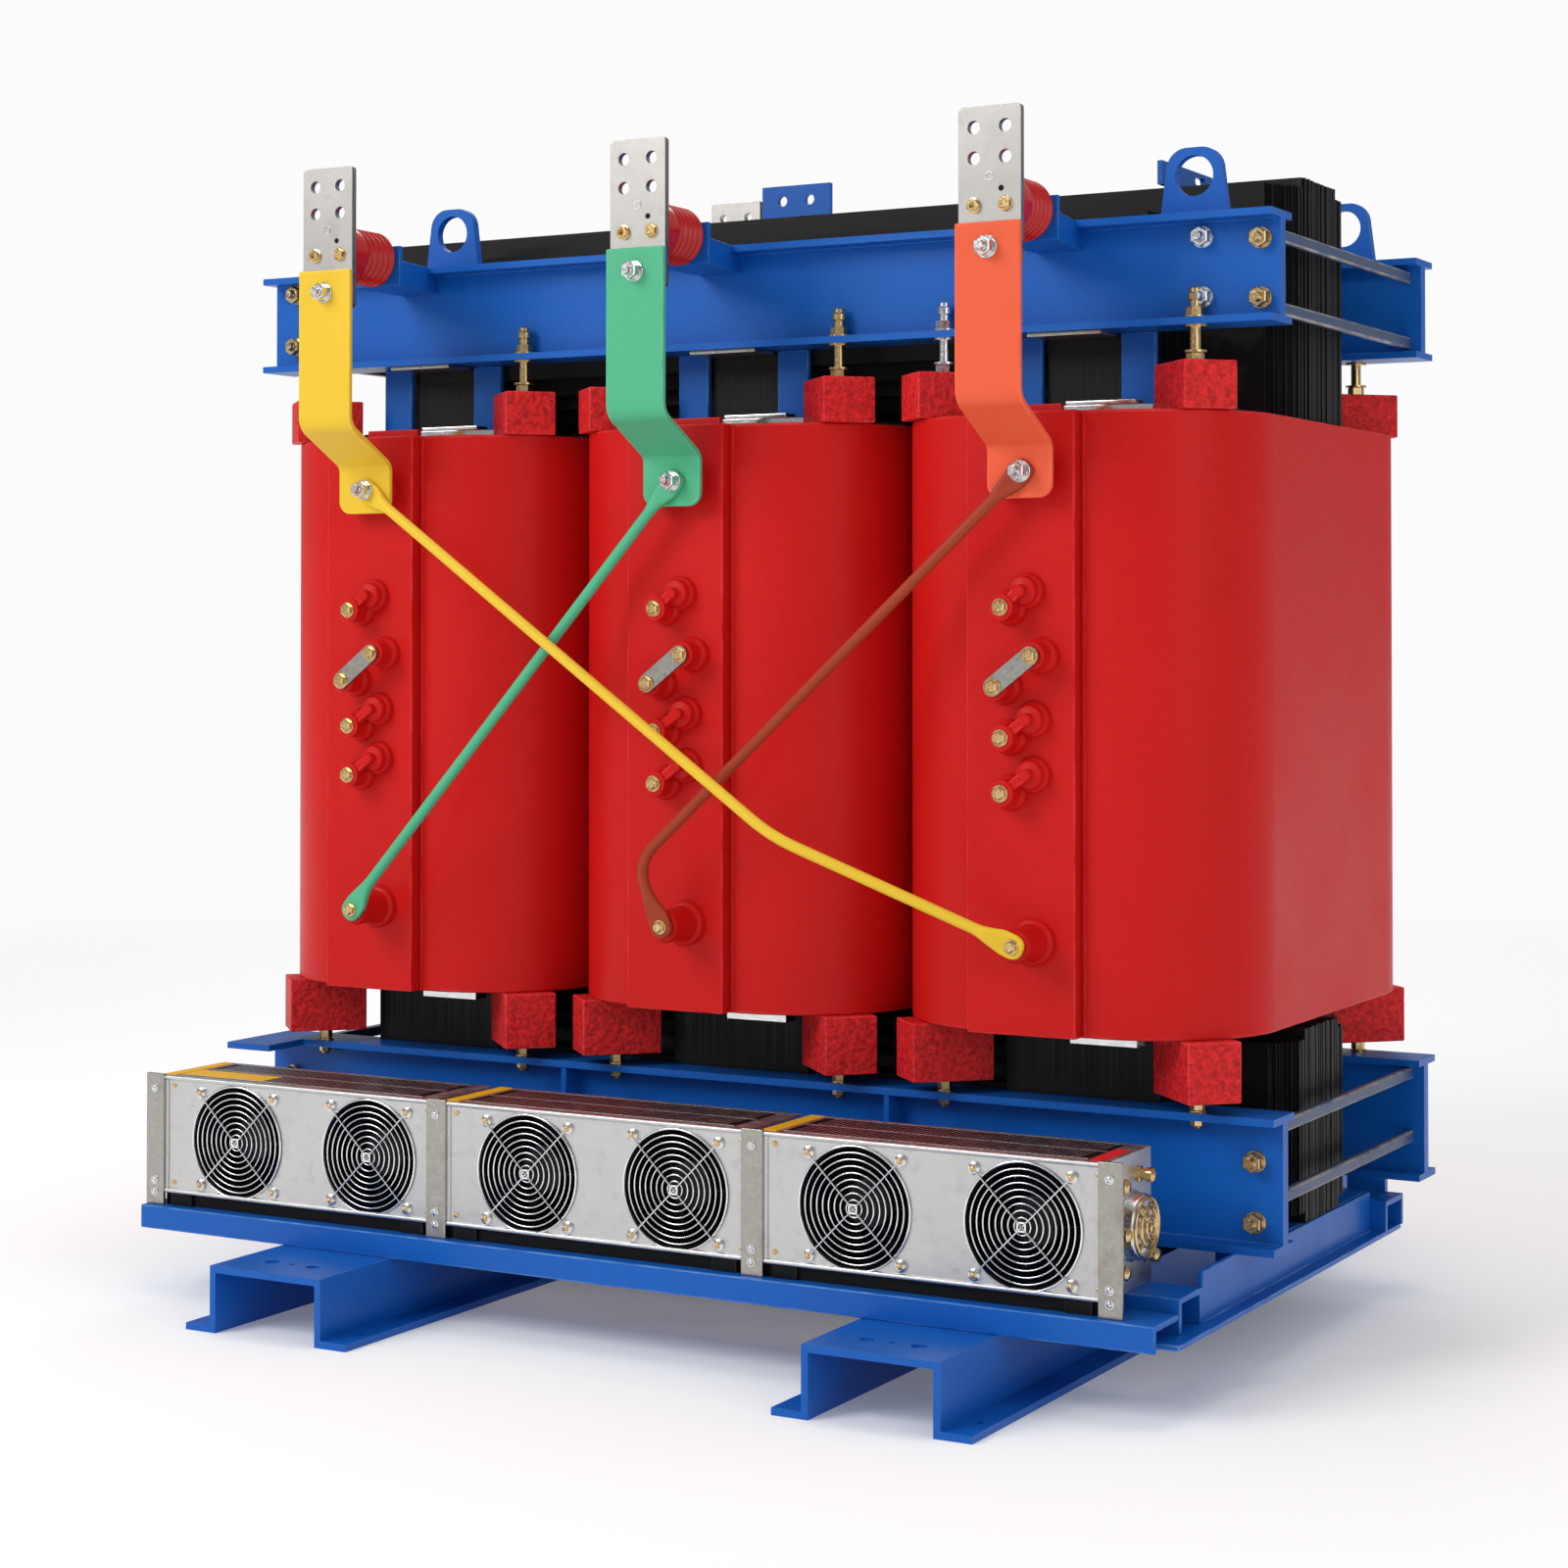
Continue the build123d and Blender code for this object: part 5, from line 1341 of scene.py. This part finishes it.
class TRANSFORMER_OT_end_cover(bpy.types.Operator):
    """Makes the round cover, glands and wire links at the right end of the fan row"""

    bl_idname = "transformer.end_cover"
    bl_label = "End Cover"

    def execute(self, context):
        seat = centre("fan_box_end_cover")
        seat.x = low("fan_box_end_cover").x
        length = high("fan_box_end_cover").x - seat.x
        bm = turned([(0, 0), (0.046, 0), (0.046, 0.004), (0.043, 0.005), (0.043, length * 0.55),
                     (0.0405, length * 0.66), (0.034, length * 0.7), (0.034, length * 0.62), (0.012, length * 0.62),
                     (0.012, length * 0.72), (0, length * 0.72)], 48)
        cover = bmesh.new()
        put(cover, bm, along(seat, TO_RIGHT))
        finish_piece(cover, "end_cover_shell", "silver_bolt", replaces=["fan_box_end_cover"], smooth=45)
        self.brass(seat, length)
        return {"FINISHED"}

    def brass(self, seat, length):
        rings = bmesh.new()
        for radius, height in ((0.0385, 0.72), (0.025, 0.80), (0.0135, 0.86)):
            put(rings, wire_ring(radius, length * height, 0.0026, 8, 40), Matrix())
        for spoke in range(4):
            turn = radians(45 + 90 * spoke)
            way = Vector((cos(turn), sin(turn), 0))
            rod(rings, way * 0.0135 + UPWARDS * length * 0.84, way * 0.0385 + UPWARDS * length * 0.74, 0.002,
                segments=8)
        put(rings, turned([(0, length * 0.6), (0.006, length * 0.6), (0.006, length * 0.93), (0.004, length * 0.96),
                           (0, length * 0.96)], 20), Matrix())
        gland = turned([(0, 0), (0.0105, 0), (0.0105, 0.004), (0.0075, 0.005), (0.0075, 0.012), (0.0095, 0.013),
                        (0.0095, 0.021), (0.0062, 0.024), (0, 0.024)], 24)
        bm = bmesh.new()
        put(bm, rings, along(seat, TO_RIGHT))
        for y, z in ((-0.056, 0.060), (0.030, 0.062), (-0.056, -0.050), (0.044, -0.044), (-0.052, -0.002)):
            put(bm, gland, along(seat + Vector((0, y, z)), TO_RIGHT))
        finish_piece(bm, "end_cover_brass", "brass_fastener", smooth=45)


class TRANSFORMER_OT_fasteners(bpy.types.Operator):
    """Bolts on the clamping beams and screws on the fan box straps"""

    bl_idname = "transformer.fasteners"
    bl_label = "Fasteners"

    def execute(self, context):
        bolt = screw_shape()
        brass, silver = bmesh.new(), bmesh.new()
        for side, direction in ((-1, TO_FRONT), (1, TO_REAR)):
            y = side * WEB_FACE
            put(brass, bolt, *[along((x, y, z), direction) for x, z in BRASS_CLAMP_BOLTS])
            put(silver, bolt, *[along((x, y, z), direction) for x, z in SILVER_CLAMP_BOLTS])
        screw = dome_shape(0.0045, 0.0062)
        strap_front = low("fan_box_straps").y
        put(silver, screw, *[along((x, strap_front, z), TO_FRONT) for x in STRAP_X for z in STRAP_SCREW_Z])
        finish_piece(brass, "clamp_bolts_brass", "brass_fastener")
        finish_piece(silver, "clamp_bolts_silver", "silver_bolt")
        return {"FINISHED"}


class TRANSFORMER_OT_rear_bars(bpy.types.Operator):
    """Finishes the low-voltage bars, their supports and the neutral plate"""

    bl_idname = "transformer.rear_bars"
    bl_label = "Rear Bars"

    def execute(self, context):
        dressed_node("lv_terminal_bars", "tinned_bar", 0.0015)
        dressed_node("neutral_plate", "tinned_bar", 0.0012)
        dressed_node("lv_bar_supports", "insulator_resin", 0.003)
        return {"FINISHED"}


class TRANSFORMER_OT_stage(bpy.types.Operator):
    """Sets the pale floor, the studio light and the camera"""

    bl_idname = "transformer.stage"
    bl_label = "Stage"

    def execute(self, context):
        self.floor()
        self.light(context.scene)
        self.camera(context.scene)
        return {"FINISHED"}

    def floor(self):
        bm = bmesh.new()
        bmesh.ops.create_grid(bm, x_segments=1, y_segments=1, size=40)
        mesh = bpy.data.meshes.new("floor")
        bm.to_mesh(mesh)
        bm.free()
        floor = bpy.data.objects.new("floor", mesh)
        bpy.context.scene.collection.objects.link(floor)
        material, tree, shader = new_material(
            "pale_floor", roughness=0.6, specular_ior_level=0.0, emission_strength=1.0)
        distance = node(tree, "ShaderNodeVectorMath", {0: object_place(tree)}, operation="LENGTH").outputs["Value"]
        far = step_between(tree, distance, FLOOR_LIT_TO, FLOOR_PALE_FROM)
        tree.links.new(mix(tree, far, grey(0.90), grey(0.0)), shader.inputs["Base Color"])
        tree.links.new(mix(tree, far, grey(0.13), grey(BACKDROP)), shader.inputs["Emission Color"])
        mesh.materials.append(material)

    def light(self, scene):
        world = bpy.data.worlds.new("studio")
        world.use_nodes = True
        tree = world.node_tree
        background = tree.nodes["Background"]
        path = node(tree, "ShaderNodeLightPath").outputs
        lit = mix(tree, path["Is Glossy Ray"], grey(0.50), grey(0.30))
        tree.links.new(mix(tree, path["Is Camera Ray"], lit, grey(BACKDROP)), background.inputs["Color"])
        scene.world = world
        scene.view_settings.view_transform = "Standard"
        for name, place, size, power in LAMPS:
            data = bpy.data.lights.new(name, "AREA")
            data.shape = "SQUARE"
            data.size = size
            data.energy = power
            lamp = bpy.data.objects.new(name, data)
            lamp.matrix_world = along(place, Vector(place) - LAMP_TARGET)
            scene.collection.objects.link(lamp)

    def camera(self, scene):
        data = bpy.data.cameras.new("camera")
        data.sensor_width = SENSOR
        data.lens = CAMERA_FOCUS * SENSOR / PICTURE
        data.shift_y = (HORIZON_ROW - PICTURE / 2) / PICTURE
        data.clip_end = 200
        camera = bpy.data.objects.new("camera", data)
        camera.rotation_euler = (radians(90 + CAMERA_PITCH), 0, radians(CAMERA_TURN))
        camera.location = CAMERA_PLACE
        scene.collection.objects.link(camera)
        scene.camera = camera


STEPS = (
    TRANSFORMER_OT_finishes, TRANSFORMER_OT_steel_frame, TRANSFORMER_OT_core, TRANSFORMER_OT_cast_coils,
    TRANSFORMER_OT_foil_coils, TRANSFORMER_OT_support_blocks, TRANSFORMER_OT_terminals, TRANSFORMER_OT_links,
    TRANSFORMER_OT_fan_boxes, TRANSFORMER_OT_fan_guards, TRANSFORMER_OT_impellers, TRANSFORMER_OT_end_cover,
    TRANSFORMER_OT_fasteners, TRANSFORMER_OT_rear_bars, TRANSFORMER_OT_stage,
)


class VIEW3D_PT_transformer(bpy.types.Panel):
    """Lists the sizes, the colours and the steps"""

    bl_label = "Transformer"
    bl_space_type = "VIEW_3D"
    bl_region_type = "UI"
    bl_category = "Transformer"

    def draw(self, context):
        for group in (context.scene.transformer_sizes, context.scene.transformer_colours):
            box = self.layout.box()
            for name in group.__annotations__:
                box.prop(group, name)
        for step in STEPS:
            self.layout.operator(step.bl_idname)


CLASSES = (TransformerSizes, TransformerColours, *STEPS, VIEW3D_PT_transformer)


def register():
    for cls in CLASSES:
        bpy.utils.register_class(cls)
    bpy.types.Scene.transformer_sizes = bpy.props.PointerProperty(type=TransformerSizes)
    bpy.types.Scene.transformer_colours = bpy.props.PointerProperty(type=TransformerColours)


def unregister():
    del bpy.types.Scene.transformer_colours
    del bpy.types.Scene.transformer_sizes
    for cls in reversed(CLASSES):
        bpy.utils.unregister_class(cls)


def main():
    register()
    for step in STEPS:
        family, name = step.bl_idname.split(".")
        getattr(getattr(bpy.ops, family), name)()


if __name__ == "__main__":
    main()
